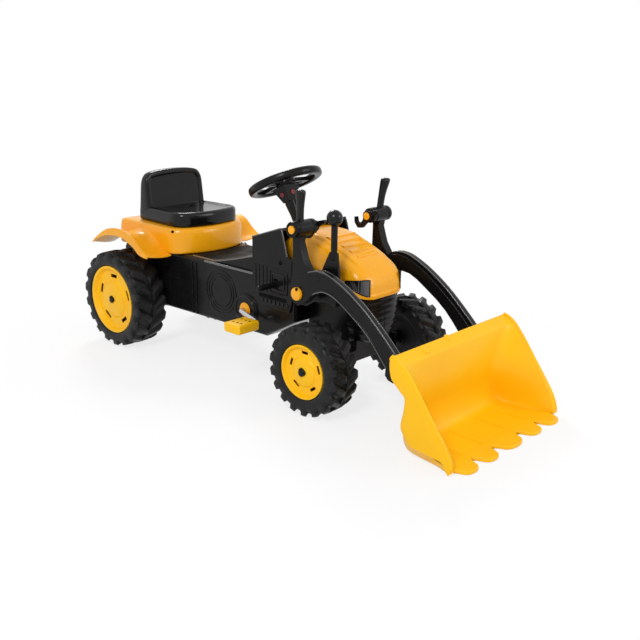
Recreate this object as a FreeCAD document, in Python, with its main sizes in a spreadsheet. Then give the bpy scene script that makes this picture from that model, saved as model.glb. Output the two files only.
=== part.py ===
import FreeCAD, Part
import math
import os
import Sketcher

# A ride-on pedal tractor with a front loader, piece by piece, in millimetres.
# The frame has +X forward, +Y to the rider's left and +Z up. The origin is on the floor,
# under the middle of the whole toy. "Right" and "left" are the rider's.

Vector = FreeCAD.Vector
Rotation = FreeCAD.Rotation
ALONG_X = (Vector(0, 1, 0), 90)
ALONG_Y = (Vector(1, 0, 0), -90)
HALF_TURN = (Vector(0, 0, 1), 180)
SIDES = (("right", -1), ("left", 1))

SIZES = {
    # Fits, walls and cuts
    "fit_gap": 0.3, "shaft_gap": 0.05, "moulded_wall": 4, "cut_overrun": 3,
    # Wheels, measured from the rear axle
    "front_reach": 1257, "wheel_base": 783,
    "rear_wheel_radius": 145, "rear_tyre_width": 102, "rear_rim_radius": 102, "rear_lug_width": 25,
    "front_wheel_radius": 116, "front_tyre_width": 84, "front_rim_radius": 69, "front_lug_width": 20,
    "lug_height": 8, "wheel_gap": 20, "axle_radius": 6, "wheel_hub_radius": 20, "rim_wall": 4,
    "hub_cap_radius": 12, "hub_cap_height": 6, "axle_stub": 3,
    # Hull
    "hull_half_width": 118, "hull_rear": 95, "hull_length": 750, "hull_bottom": 118, "hull_height": 178,
    "hull_edge_radius": 10, "crank_boss_radius": 46, "crank_boss_height": 5,
    "hump_half_width": 108,
    # Pedal drive
    "crank_distance": 470, "crank_height": 188, "crank_throw": 65, "crank_angle": 15,
    "crank_rod_radius": 6, "crank_gap": 4, "pedal_gap": 14, "pedal_length": 70, "pedal_width": 62,
    "pedal_thickness": 26, "bush_radius": 12, "bush_flange_radius": 17, "bush_flange_height": 4,
    "drive_sprocket_radius": 36, "axle_sprocket_radius": 15.4, "sprocket_thickness": 4, "tooth_height": 3,
    "sprocket_offset": 60, "chain_gap": 1, "chain_thickness": 3, "chain_width": 8,
    # Tow hitch
    "hitch_length": 46, "hitch_half_width": 25, "hitch_thickness": 10, "hitch_height": 205,
    "hitch_bore_radius": 6, "hitch_bore_setback": 20,
    # Seat base with fenders, and seat
    "rear_body_half_width": 140, "rear_body_rear": 90, "rear_body_length": 323, "rear_body_height": 76,
    "rear_body_edge_radius": 10, "fender_outer": 206, "fender_rear": 128, "fender_length": 282,
    "fender_drop": 10, "fender_height": 74, "seat_half_width": 125, "seat_rear": 23, "seat_length": 239,
    "seat_height": 147,
    # Console
    "console_half_width": 125, "console_distance": 503, "console_length": 147, "console_bottom": 214,
    "console_height": 218, "screw_radius": 4, "screw_length": 5,
    "screw_distance": 612, "screw_height": 343,
    # Stub lever on the console
    "stub_distance": 592, "stub_height": 282, "stub_radius": 7, "stub_length": 60, "stub_slot_rise": 6,
    "stub_pin_radius": 2, "stub_pin_length": 24, "stub_gap": 1,
    # Steering
    "steering_distance": 501, "steering_height": 526, "steering_tilt": 26, "steering_wheel_radius": 103,
    "steering_rim_thickness": 23, "spoke_width": 26, "spoke_thickness": 9, "steering_boss_radius": 26,
    "hub_box_width": 58, "hub_box_depth": 48, "hub_box_height": 42, "hub_box_setback": 4, "button_radius": 7,
    "button_height": 3, "button_travel": 1.5, "column_length": 38, "column_top_radius": 19,
    "column_low_radius": 14, "neck_length": 48, "shaft_radius": 6, "shaft_length": 463,
    "pitman_length": 40, "pitman_radius": 4, "pitman_pin_length": 22, "tunnel_gap": 3,
    # Nose, bonnet, grille
    "nose_half_width": 66, "shoulder_half_width": 112, "nose_bottom": 158, "nose_length": 140,
    "shoulder_length": 135, "shoulder_height": 88, "deck_rear_height": 334, "deck_front_height": 304,
    "deck_thickness": 10, "bonnet_half_width": 85, "bonnet_distance": 606, "bonnet_length": 252,
    "bonnet_height": 130, "bonnet_top_radius": 26, "bonnet_nose_radius": 46, "bonnet_wall": 3,
    "lamp_length": 58, "lamp_inset": 54, "lamp_height": 38, "lamp_lift": 6,
    "grille_low_height": 161, "grille_waist_height": 215, "grille_half_width": 80,
    "grille_waist_half_width": 75, "grille_low_half_width": 46,
    # Front axle
    "front_track_half": 184, "kingpin_offset": 104, "kingpin_radius": 6,
    "beam_depth": 32, "beam_height": 30, "saddle_half_width": 40, "knuckle_plate": 7, "knuckle_web": 7,
    "steering_arm": 105, "arm_strip_width": 18, "tie_rod_width": 16, "tie_rod_thickness": 6,
    "tie_pin_radius": 4, "tie_pin_length": 12, "tie_pin_drop": 9, "tie_plate_half_length": 28,
    "tie_plate_half_width": 16, "tie_slot_half_length": 20, "tie_slot_half_width": 8,
    # Loader
    "loader_pivot_distance": 710, "loader_pivot_height": 288, "loader_shaft_radius": 8, "arm_centre": 153,
    "arm_thickness": 25, "arm_end_radius": 26, "pivot_boss_radius": 30, "post_height": 161, "post_lean": 4,
    "pivot_cap_radius": 17, "pivot_cap_height": 8, "knob_radius": 20, "knob_inner": 108, "knob_length": 75,
    "knob_cap_radius": 10, "knob_cap_height": 3, "knob_stub_radius": 8, "grip_height": 97,
    "grip_half_width": 14, "grip_thickness": 20, "hook_thickness": 9, "hook_gap": 1, "hook_reach": 44,
    "hook_eye_radius": 14,
    # Bucket and its tilt lever
    "bucket_half_width": 234, "bucket_height": 229, "bucket_depth": 200, "bucket_wall": 5,
    "bucket_pivot_setback": 227, "bucket_pivot_height": 165, "ear_thickness": 8, "bucket_pin_radius": 6,
    "tooth_length": 22, "tooth_width": 46, "centre_tooth_width": 100, "tooth_thickness": 8,
    "tooth_pitch": 76, "lever_distance": 779, "lever_height": 340, "lever_thickness": 8, "lever_gap": 6,
    "lever_base_length": 74, "lever_base_height": 72, "lever_rod_radius": 8, "lever_reach": 143,
    "lever_lean": 19, "ball_radius": 20.5, "link_setback": 22, "link_drop": 8, "ear_size": 60,
    "link_pin_radius": 5, "link_thickness": 8,
    "link_gap": 2, "link_eye_radius": 10, "link_rod_radius": 3.75, "link_open_gap": 0.4,
}
COUNTS = {"lug_count": 20, "slot_count": 5, "drive_teeth": 28, "axle_teeth": 12}

# Outlines, as shares of the length and the height of the piece that they belong to
HUB_FACE_SHARE = 0.45
WEB_FACE_SHARE = -0.7
TYRE_SHARES = [(-0.86, 0), (-1, 0.2), (-1, 0.62), (-0.93, 0.86), (-0.78, 1), (0.78, 1), (0.93, 0.86),
               (1, 0.62), (1, 0.2), (0.86, 0)]
HULL_SHARES = [(0, 0.32), (0.053, 0), (0.233, 0), (0.28, 0.03), (0.567, 0.05), (0.853, 0.056),
               (0.94, 0.264), (1, 0.404), (1, 1), (0.02, 1), (0, 0.91)]
HUMP_SHARES = [(0.573, 0.985), (0.573, 1.005), (0.677, 1.112), (0.796, 1.25), (0.796, 0.985)]
REAR_BODY_SHARES = [(0, 0.86), (0.06, 1), (0.78, 1), (0.85, 0.96), (0.915, 0.84), (0.97, 0.53), (1, 0.18)]
FENDER_SHARES = [(0, 0.2), (0.07, 0.43), (0.195, 0.72), (0.294, 0.88), (0.425, 0.97), (0.55, 0.97),
                 (0.642, 0.9), (0.745, 0.75), (0.826, 0.5), (0.908, 0.29), (0.99, 0.14), (1, 0.06),
                 (0.9, 0.03), (0.833, 0.08), (0.77, 0.28), (0.65, 0.49),
                 (0.475, 0.63), (0.188, 0.47), (0.02, 0.17)]
SEAT_SHARES = [(0, 0.03), (0.02, 0), (0.985, 0), (1, 0.03), (1, 0.22), (0.98, 0.27), (0.9, 0.275),
               (0.6, 0.26), (0.28, 0.25), (0.215, 0.3), (0.16, 1), (0.085, 1), (0.06, 0.9), (0, 0.12)]
SEAT_FRONT_SHARES = [(1, 0), (1, 0.27), (0.9, 0.34), (0.88, 0.75), (0.83, 0.88), (0.7, 0.96), (0.4, 0.993)]
SEAT_PLAN_SHARES = [(0, 0.86), (0.04, 0.9), (0.6, 0.985), (0.74, 1), (0.82, 0.98), (0.88, 0.92),
                    (0.945, 0.72), (0.985, 0.36), (1, 0.1)]
CONSOLE_SHARES = [(0, 0.17), (0, 0.835), (0.728, 1), (0.755, 0.963), (0.883, 0.673), (1, 0.642), (1, 0.12),
                  (0.94, 0), (0.18, 0)]
CONSOLE_HOLLOW_SHARES = [(0.034, 0.376), (0.034, 0.81), (0.72, 0.965), (1.2, 0.965), (1.2, 0.376)]
SHOULDER_SHARES = [(0, -0.08), (0.25, -0.05), (0.45, 0.14), (0.75, 0.22), (1, 0.14)]
BONNET_SHARES = [(0, 1), (0.338, 0.97), (0.884, 0.54), (0.983, 0.3), (1, 0.0)]
GRILLE_SHARES = [(0, -1), (0.62, -1), (0.88, -0.78), (1, -0.36), (1, 0.36), (0.88, 0.78), (0.62, 1), (0, 1)]
ARM_UPPER_SHARES = [(0.113, 0.48), (0.216, 0.52), (0.306, 0.492), (0.388, 0.411), (0.488, 0.276),
                    (0.584, 0.114), (0.681, -0.069), (0.778, -0.268), (0.872, -0.484), (0.938, -0.659)]
ARM_LOWER_SHARES = [(0.869, -0.894), (0.8, -0.683), (0.722, -0.476), (0.631, -0.285), (0.519, -0.094),
                    (0.428, 0.057), (0.35, 0.15), (0.269, 0.179), (0.2, 0.122), (0.147, 0.024)]
POST_SHARES = [(-0.85, 0.1), (-0.6, 0.28), (-0.57, 0.8), (-0.62, 1), (0.35, 1), (0.1, 0.8), (0.58, 0.54)]
END_SHARES = [(0.25, 0.95), (0.8, 0.55), (1, 0), (0.8, -0.6), (0.3, -0.95), (-0.35, -0.95)]
HEEL_SHARES = [(0.75, -0.68), (0, -1), (-0.75, -0.66)]
GRIP_SHARES = [(-0.7, 0), (-0.65, 0.25), (-0.6, 0.92), (-0.45, 1), (1.25, 1), (1.4, 0.92), (0.85, 0.25),
               (0.7, 0)]
HOOK_SHARES = [(0.2, 0.3), (0.8, 0.45), (0.87, 0.28), (0.3, -0.05), (0.1, -0.3), (-0.3, -0.75),
               (-0.7, -0.8), (-0.95, -0.5), (-0.98, -0.15), (-0.8, -0.12), (-0.72, -0.42), (-0.5, -0.5),
               (-0.3, -0.25), (-0.28, 0.2)]
BUCKET_SHARES = [(0.0, 0.89), (0.03, 1), (0.16, 0.985), (0.225, 0.935), (0.76, 0.3), (0.865, 0.165),
                 (0.93, 0.07), (0.92, 0.02), (0.83, 0), (0.71, 0.115), (0.315, 0.148), (0.165, 0.314),
                 (0.205, 0.61), (0.145, 0.646)]
BUCKET_HOLLOW_SHARES = [(0.09, 1.1), (0.085, 0.89), (0.205, 0.665), (0.24, 0.58), (0.232, 0.45),
                        (0.235, 0.36), (0.26, 0.27), (0.31, 0.215), (0.38, 0.185), (0.73, 0.15),
                        (0.85, 0.05), (1.1, 0.05), (1.1, 1.1)]
EAR_SHARES = [(-0.2, 0.42), (-0.5, 0.15), (-0.53, -0.2), (-0.38, -0.36), (-0.15, -0.42)]
LEVER_SHARES = [(-0.44, -0.26), (-0.44, -0.02), (-0.27, 0.09), (0.1, 0.85), (0.42, 0.85), (0.52, -0.02),
                (0.52, -0.15), (0.3, -0.26)]
PEDAL_SHARES = [(-1, -0.7), (-1, 0.7), (-0.86, 1), (0.86, 1), (1, 0.7), (1, -0.7), (0.86, -1), (-0.86, -1)]
TOOTH_SHARES = [(0, -0.5), (0.62, -0.42), (1, -0.2), (1, 0.2), (0.62, 0.42), (0, 0.5)]


class Size:
    """A number of the sheet, or a sum or product of some, as a value and as an expression."""

    def __init__(self, value, text):
        self.value = value
        self.text = text

    def __add__(self, other):
        other = as_size(other)
        return Size(self.value + other.value, f"({self.text} + {other.text})")

    def __sub__(self, other):
        other = as_size(other)
        return Size(self.value - other.value, f"({self.text} - {other.text})")

    def __mul__(self, other):
        other = as_size(other)
        return Size(self.value * other.value, f"({self.text} * {other.text})")

    def __truediv__(self, other):
        other = as_size(other)
        return Size(self.value / other.value, f"({self.text} / {other.text})")

    def __neg__(self):
        return Size(-self.value, f"(0 - {self.text})")

    __radd__ = __add__
    __rmul__ = __mul__


def as_size(number):
    """A plain number as a size that is not in the sheet."""
    if isinstance(number, Size):
        return number
    return Size(float(number), repr(float(number)))


def sine(angle):
    return Size(math.sin(math.radians(angle.value)), f"sin({angle.text})")


def cosine(angle):
    return Size(math.cos(math.radians(angle.value)), f"cos({angle.text})")


def root(number):
    return Size(math.sqrt(number.value), f"sqrt({number.text})")


class Sheet:
    """The named sizes, as attributes."""


def fill_sheet(doc):
    """Writes every driving dimension to a sheet and gives them back by name."""
    sheet = doc.addObject("Spreadsheet::Sheet", "sizes")
    named = Sheet()
    for row, (alias, value) in enumerate({**SIZES, **COUNTS}.items(), start=1):
        sheet.set(f"A{row}", alias.replace("_", " "))
        sheet.set(f"B{row}", str(value))
        sheet.setAlias(f"B{row}", alias)
        setattr(named, alias, Size(float(value), f"sizes.{alias}"))
    doc.recompute()
    return named


doc = FreeCAD.newDocument("ride_on_tractor")
s = fill_sheet(doc)
zero = as_size(0)
nodes = []

# Places that many pieces share
rear_axle_x = (s.rear_wheel_radius - s.front_reach) / 2
front_axle_x = rear_axle_x + s.wheel_base
rear_wheel_y = s.hull_half_width + s.wheel_gap + s.rear_tyre_width / 2
hull_x = rear_axle_x - s.hull_rear
hull_front_x = hull_x + s.hull_length
hull_top = s.hull_bottom + s.hull_height
crank_x = rear_axle_x + s.crank_distance
crank_face_y = s.hull_half_width + s.crank_boss_height + s.bush_flange_height
crank_arm_y = crank_face_y + s.crank_gap + s.crank_rod_radius
pedal_y = crank_arm_y + s.crank_rod_radius + s.pedal_gap + s.pedal_length / 2
steering_x = rear_axle_x + s.steering_distance
steering_turn = (Vector(0, 1, 0), -SIZES["steering_tilt"])
loader_x = rear_axle_x + s.loader_pivot_distance
tip_x = rear_axle_x + s.front_reach
bucket_pivot_x = tip_x - s.bucket_pivot_setback
bucket_x = tip_x - s.bucket_depth
arm_inner = s.arm_centre - s.arm_thickness / 2
arm_outer = s.arm_centre + s.arm_thickness / 2
knob_x = loader_x - s.post_lean
knob_z = s.loader_pivot_height + s.post_height
lever_x = rear_axle_x + s.lever_distance
nose_x = hull_front_x + s.fit_gap
stub_x = rear_axle_x + s.stub_distance


def bind(item, name, size):
    """Ties a property to the sheet."""
    item.setExpression(name, as_size(size).text)


def place(item, at, turn=None):
    """Puts an object at a bound place, turned about an axis by a fixed angle."""
    item.Placement = FreeCAD.Placement(Vector(), Rotation(*turn) if turn else Rotation())
    for name, size in zip("xyz", at):
        bind(item, f"Placement.Base.{name}", size)
    return item


def node(item, name):
    """Names a finished piece, which is then written to its own file."""
    item.Label = name
    nodes.append(item)
    return item


def add(kind, name):
    return doc.addObject(kind, name)


def cylinder(name, radius, length, at, turn=None):
    item = add("Part::Cylinder", name)
    bind(item, "Radius", radius)
    bind(item, "Height", length)
    return place(item, at, turn)


def rod_y(name, radius, low, high, x, z):
    """A cylinder along Y between two places."""
    return cylinder(name, radius, high - low, (x, low, z), ALONG_Y)


def cone(name, low_radius, top_radius, length, at, turn=None):
    item = add("Part::Cone", name)
    bind(item, "Radius1", low_radius)
    bind(item, "Radius2", top_radius)
    bind(item, "Height", length)
    return place(item, at, turn)


def ball(name, radius, at):
    item = add("Part::Sphere", name)
    bind(item, "Radius", radius)
    return place(item, at)


def box(name, low, high):
    """A box between two corners."""
    item = add("Part::Box", name)
    for name_of_side, start, end in zip(("Length", "Width", "Height"), low, high):
        bind(item, name_of_side, end - start)
    return place(item, low)


def fuse(name, pieces):
    item = add("Part::MultiFuse", name)
    item.Shapes = pieces
    item.Refine = True
    return item


def cut(name, base, tools):
    item = add("Part::Cut", name)
    item.Base = base
    item.Tool = tools[0] if len(tools) == 1 else fuse(name + "_tools", tools)
    return item


def group(name, pieces):
    """Separate like solids that share a node."""
    item = add("Part::Compound", name)
    item.Links = pieces
    return item


def new_body(name):
    return add("PartDesign::Body", name)


def origin_part(body, role):
    return next(item for item in body.Origin.OriginFeatures if item.Role == role)


def sketch_on(body, role, height=None):
    """An empty sketch on an origin plane of the body, lifted by a bound height."""
    sketch = body.newObject("Sketcher::SketchObject", body.Name + "_sketch")
    sketch.AttachmentSupport = [(origin_part(body, role), "")]
    sketch.MapMode = "FlatFace"
    if height is not None:
        bind(sketch, "AttachmentOffset.Base.z", height)
    return sketch


def draw(sketch, points):
    """A closed outline whose corners are all bound to the sheet."""
    start = sketch.GeometryCount
    count = len(points)
    spots = [Vector(as_size(u).value, as_size(v).value, 0) for u, v in points]
    for index in range(count):
        sketch.addGeometry(Part.LineSegment(spots[index], spots[(index + 1) % count]), False)
    ends = [(start + index, start + (index + 1) % count) for index in range(count)]
    sketch.addConstraint([Sketcher.Constraint("Coincident", one, 2, two, 1) for one, two in ends])
    for index, corner in enumerate(points):
        for kind, size in zip(("DistanceX", "DistanceY"), corner):
            size = as_size(size)
            which = sketch.addConstraint(Sketcher.Constraint(kind, -1, 1, start + index, 1, size.value))
            sketch.setExpression(f"Constraints[{which}]", size.text)
    return sketch


def draw_circle(sketch, u, v, radius):
    """A circle with a bound centre and radius."""
    middle = Vector(as_size(u).value, as_size(v).value, 0)
    which = sketch.addGeometry(Part.Circle(middle, Vector(0, 0, 1), radius.value), False)
    for kind, size in (("DistanceX", as_size(u)), ("DistanceY", as_size(v))):
        number = sketch.addConstraint(Sketcher.Constraint(kind, -1, 1, which, 3, size.value))
        sketch.setExpression(f"Constraints[{number}]", size.text)
    number = sketch.addConstraint(Sketcher.Constraint("Radius", which, radius.value))
    sketch.setExpression(f"Constraints[{number}]", radius.text)
    return sketch


def pad(body, sketch, length, both_ways=True, reverse=False):
    item = body.newObject("PartDesign::Pad", body.Name + "_pad")
    item.Profile = sketch
    item.SideType = "Symmetric" if both_ways else "One side"
    item.Reversed = reverse
    bind(item, "Length", length)
    return item


def pocket(body, sketch, length):
    item = body.newObject("PartDesign::Pocket", body.Name + "_pocket")
    item.Profile = sketch
    item.SideType = "Symmetric"
    bind(item, "Length", length)
    return item


def revolve(body, sketch):
    """Turns a profile about the sketch's level axis."""
    item = body.newObject("PartDesign::Revolution", body.Name + "_turn")
    item.Profile = sketch
    item.ReferenceAxis = (sketch, ["H_Axis"])
    item.Angle = 360
    return item


def repeat_round(body, feature, role, count):
    """Repeats a feature evenly round an origin axis of the body."""
    item = body.newObject("PartDesign::PolarPattern", body.Name + "_ring")
    item.Originals = [feature]
    item.Axis = (origin_part(body, role), [""])
    item.Angle = 360
    bind(item, "Occurrences", count)
    body.Tip = item
    return item


def round_edges(body, feature, radius, wanted):
    """Fillets the edges that a test on their middle and direction picks."""
    doc.recompute()
    names = []
    for number, edge in enumerate(feature.Shape.Edges, start=1):
        middle = edge.valueAt((edge.FirstParameter + edge.LastParameter) / 2)
        heading = edge.tangentAt((edge.FirstParameter + edge.LastParameter) / 2)
        if wanted(middle, heading):
            names.append(f"Edge{number}")
    item = body.newObject("PartDesign::Fillet", body.Name + "_fillet")
    item.Base = (feature, names)
    bind(item, "Radius", radius)
    return item


def at_shares(x, z, length, height, shares):
    """An outline in the frame, from shares of a length and a height."""
    return [(x + length * along, z + height * up) for along, up in shares]


def plate(name, points, thickness, middle_y):
    """A flat piece: an outline seen from the side, with a thickness across."""
    body = new_body(name)
    pad(body, draw(sketch_on(body, "XZ_Plane"), points), thickness)
    return place(body, (zero, middle_y, zero))


def is_near(one, two):
    """Whether two lengths are the same, against the size of the whole toy."""
    return abs(one - two) < SIZES["front_reach"] * 1e-6


def turned(angle, across, up):
    """A point beside a radius that leans by an angle from straight up."""
    return (across * cosine(angle) + up * sine(angle), up * cosine(angle) - across * sine(angle))


def tyre(name, radius, width, rim_radius, lug_width, at, turn):
    """A tyre with two rows of bar lugs, half a pitch apart, and a web that closes its inner side."""
    body = new_body(name)
    bore = rim_radius + s.fit_gap
    carcass = radius - s.lug_height
    profile = [(width / 2 * across, bore + (carcass - bore) * up) for across, up in TYRE_SHARES]
    web_back, web_face = width / 2 * TYRE_SHARES[0][0], width / 2 * WEB_FACE_SHARE
    eye = s.wheel_hub_radius + s.fit_gap
    profile += [(web_face, bore), (web_face, eye), (web_back, eye)]
    revolve(body, draw(sketch_on(body, "YZ_Plane"), profile))
    top_share = 0.34
    lug_top = root(radius * radius - lug_width * lug_width * (top_share * top_share))
    lug_low = carcass - s.lug_height
    for lean, reverse in ((zero, False), (as_size(180) / s.lug_count, True)):
        corners = [turned(lean, across, up) for across, up in (
            (-lug_width / 2, lug_low), (-lug_width * top_share, lug_top),
            (lug_width * top_share, lug_top), (lug_width / 2, lug_low))]
        lug = pad(body, draw(sketch_on(body, "XZ_Plane"), corners), width / 2, False, reverse)
        repeat_round(body, lug, "Y_Axis", s.lug_count)
    return node(place(body, at, turn), name)


def rim(name, width, radius, at, turn):
    """A dished wheel with a hub, a recessed ring with slots, and a flange towards the outside."""
    body = new_body(name)
    bore = s.axle_radius + s.shaft_gap
    back, barrel, face, crown, ring, lip = -0.42, -0.33, HUB_FACE_SHARE, 0.42, 0.36, 0.49
    centre_share, ring_in_share, ring_out_share, flange_share = 0.5, 0.58, 0.86, 0.93
    inside = radius - s.rim_wall
    behind = width * ring - s.rim_wall
    hub_taper_share = 0.8
    hub_edge = s.wheel_hub_radius * hub_taper_share
    profile = [(width * back, bore), (width * face, bore), (width * face, hub_edge),
               (width * crown, radius * centre_share), (width * ring, radius * ring_in_share),
               (width * ring, radius * ring_out_share), (width * lip, radius * flange_share),
               (width * lip, radius), (width * barrel, radius), (width * barrel, inside),
               (behind, inside), (behind, s.wheel_hub_radius), (width * back, s.wheel_hub_radius)]
    revolve(body, draw(sketch_on(body, "YZ_Plane"), profile))
    half_slot_share, slot_low_share, slot_top_share = 0.15, 0.64, 0.74
    half_slot = radius * half_slot_share
    slot_low, slot_top = radius * slot_low_share, radius * slot_top_share
    corners = [(-half_slot, slot_low), (-half_slot, slot_top), (half_slot, slot_top), (half_slot, slot_low)]
    slot = pocket(body, draw(sketch_on(body, "XZ_Plane"), corners), width * 2)
    repeat_round(body, slot, "Y_Axis", s.slot_count)
    return node(place(body, at, turn), name)


def hub_cap(name, width, at, turn):
    """A small cap over the axle end, seated on the hub."""
    face = width * HUB_FACE_SHARE + s.fit_gap
    outside = rod_y(name + "_dome", s.hub_cap_radius, face, face + s.hub_cap_height, zero, zero)
    inside = rod_y(name + "_bore", s.axle_radius + s.shaft_gap, face - s.cut_overrun,
                   face + s.axle_stub + s.fit_gap, zero, zero)
    return node(place(cut(name, outside, [inside]), at, turn), name)


def wheel(end, side, radius, width, rim_radius, lug_width, at):
    """The three pieces of one wheel. The local +Y side is the outside of the toy."""
    turn = HALF_TURN if side == "right" else None
    tyre(f"{end}_tyre_{side}", radius, width, rim_radius, lug_width, at, turn)
    rim(f"{end}_rim_{side}", width, rim_radius, at, turn)
    hub_cap(f"{end}_hub_cap_{side}", width, at, turn)


def wheels():
    for side, sign in SIDES:
        at = (rear_axle_x, rear_wheel_y * sign, s.rear_wheel_radius)
        wheel("rear", side, s.rear_wheel_radius, s.rear_tyre_width, s.rear_rim_radius, s.rear_lug_width, at)
        at = (front_axle_x, s.front_track_half * sign, s.front_wheel_radius)
        radius, width = s.front_wheel_radius, s.front_tyre_width
        wheel("front", side, radius, width, s.front_rim_radius, s.front_lug_width, at)


def steering_tunnel(name):
    """The clear way through the mouldings for the sloping steering rod."""
    at = (steering_x, zero, s.steering_height)
    return cylinder_down(name, s.shaft_radius + s.tunnel_gap, s.shaft_length + s.cut_overrun, at)


def cylinder_down(name, radius, length, at):
    """A cylinder from a point down along the steering axis."""
    down = (Vector(0, 1, 0), 180 - SIZES["steering_tilt"])
    return cylinder(name, radius, length, at, down)


def hull_half(side, sign):
    """One half of the blow-moulded hull, open on the middle plane."""
    name = f"hull_{side}"
    body = new_body(name + "_block")
    outline = at_shares(hull_x, s.hull_bottom, s.hull_length, s.hull_height, HULL_SHARES)
    block = pad(body, draw(sketch_on(body, "XZ_Plane"), outline), s.hull_half_width)
    outer_y = sign * SIZES["hull_half_width"] / 2
    round_edges(body, block, s.hull_edge_radius, lambda middle, heading: is_near(middle.y, outer_y))
    place(body, (zero, s.hull_half_width * sign / 2, zero))
    wall = s.moulded_wall
    room_length, room_height = s.hull_length - wall * 2, s.hull_height - wall * 2
    inside = at_shares(hull_x + wall, s.hull_bottom + wall, room_length, room_height, HULL_SHARES)
    depth = s.hull_half_width - wall + s.cut_overrun
    room = plate(name + "_room", inside, depth, (depth / 2 - s.cut_overrun) * sign)
    face = s.hull_half_width * sign
    boss_low = face if sign > 0 else face - s.crank_boss_height
    boss_high = boss_low + s.crank_boss_height
    boss = rod_y(name + "_boss", s.crank_boss_radius, boss_low, boss_high, crank_x, s.crank_height)
    hump_outline = at_shares(hull_x, s.hull_bottom, s.hull_length, s.hull_height, HUMP_SHARES)
    hump = plate(name + "_hump", hump_outline, s.hump_half_width, s.hump_half_width * sign / 2)
    reach = s.hull_half_width + s.crank_boss_height + s.cut_overrun
    hole_radius = s.bush_radius + s.shaft_gap
    holes = [rod_y(name + "_axle_hole", hole_radius, -reach, reach, rear_axle_x, s.rear_wheel_radius),
             rod_y(name + "_crank_hole", hole_radius, -reach, reach, crank_x, s.crank_height)]
    holes += [room, steering_tunnel(name + "_tunnel")]
    return node(cut(name, fuse(name + "_solid", [body, hump, boss]), holes), name)


def bush(name, sign, seat_y, x, z):
    """A flanged bush that sits in a hull hole."""
    inner = (seat_y - s.moulded_wall - s.crank_boss_height) * sign
    face = seat_y * sign
    outer = (seat_y + s.bush_flange_height) * sign
    low, high = (inner, face) if sign > 0 else (face, inner)
    flange_low, flange_high = (face, outer) if sign > 0 else (outer, face)
    spigot = rod_y(name + "_spigot", s.bush_radius, low, high, x, z)
    flange = rod_y(name + "_flange", s.bush_flange_radius, flange_low, flange_high, x, z)
    bore = rod_y(name + "_bore", s.axle_radius + s.shaft_gap, low - s.bush_radius, high + s.bush_radius, x, z)
    return cut(name, fuse(name + "_solid", [spigot, flange]), [bore])


def bushes():
    crank_seat = s.hull_half_width + s.crank_boss_height
    rear = [bush(f"rear_bush_{side}", sign, s.hull_half_width, rear_axle_x, s.rear_wheel_radius)
            for side, sign in SIDES]
    crank = [bush(f"crank_bush_{side}", sign, crank_seat, crank_x, s.crank_height) for side, sign in SIDES]
    node(group("rear_axle_bushes", rear), "rear_axle_bushes")
    node(group("crank_bushes", crank), "crank_bushes")


def rear_axle():
    end = rear_wheel_y + s.rear_tyre_width * HUB_FACE_SHARE + s.axle_stub
    node(rod_y("rear_axle", s.axle_radius, -end, end, rear_axle_x, s.rear_wheel_radius), "rear_axle")


def sprocket(name, radius, teeth, bore_radius, x, z):
    """A toothed disc on a shaft."""
    body = new_body(name)
    draw_circle(disc := sketch_on(body, "XZ_Plane"), zero, zero, radius - s.tooth_height)
    pad(body, disc, s.sprocket_thickness)
    tooth_foot_share = 1.5
    half_pitch = (radius - s.tooth_height) * tooth_foot_share / teeth
    corners = [(-half_pitch, radius - s.tooth_height * 2), (-half_pitch / 3, radius),
               (half_pitch / 3, radius), (half_pitch, radius - s.tooth_height * 2)]
    tooth = pad(body, draw(sketch_on(body, "XZ_Plane"), corners), s.sprocket_thickness)
    repeat_round(body, tooth, "Y_Axis", teeth)
    bore = draw_circle(sketch_on(body, "XZ_Plane"), zero, zero, bore_radius + s.shaft_gap)
    body.Tip = pocket(body, bore, s.sprocket_thickness * 2)
    return node(place(body, (x, s.sprocket_offset, z)), name)


def chain():
    """A closed loop round both sprockets, clear of their teeth."""
    big = s.drive_sprocket_radius.value + s.chain_gap.value
    small = s.axle_sprocket_radius.value + s.chain_gap.value
    rear = Vector(rear_axle_x.value, 0, s.rear_wheel_radius.value)
    front = Vector(crank_x.value, 0, s.crank_height.value)
    outside = loop_face(rear, small + s.chain_thickness.value, front, big + s.chain_thickness.value)
    ring = outside.cut(loop_face(rear, small, front, big))
    item = add("Part::Feature", "drive_chain")
    item.Shape = ring.extrude(Vector(0, s.chain_width.value, 0))
    edge_y = s.sprocket_offset.value - s.chain_width.value / 2
    item.Placement = FreeCAD.Placement(Vector(0, edge_y, 0), Rotation())
    node(item, "drive_chain")


def loop_face(rear, rear_radius, front, front_radius):
    """The area within a belt round two pulleys, in the XZ plane."""
    along = front - rear
    reach = along.Length
    along = along / reach
    across = Vector(-along.z, 0, along.x)
    lean = (rear_radius - front_radius) / reach
    rise = math.sqrt(1 - lean * lean)
    up = along * lean + across * rise
    down = along * lean - across * rise
    rear_up, rear_down = rear + up * rear_radius, rear + down * rear_radius
    front_up, front_down = front + up * front_radius, front + down * front_radius
    edges = [Part.Arc(rear_down, rear - along * rear_radius, rear_up).toShape(),
             Part.LineSegment(rear_up, front_up).toShape(),
             Part.Arc(front_up, front + along * front_radius, front_down).toShape(),
             Part.LineSegment(front_down, rear_down).toShape()]
    return Part.Face(Part.Wire(edges))


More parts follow.
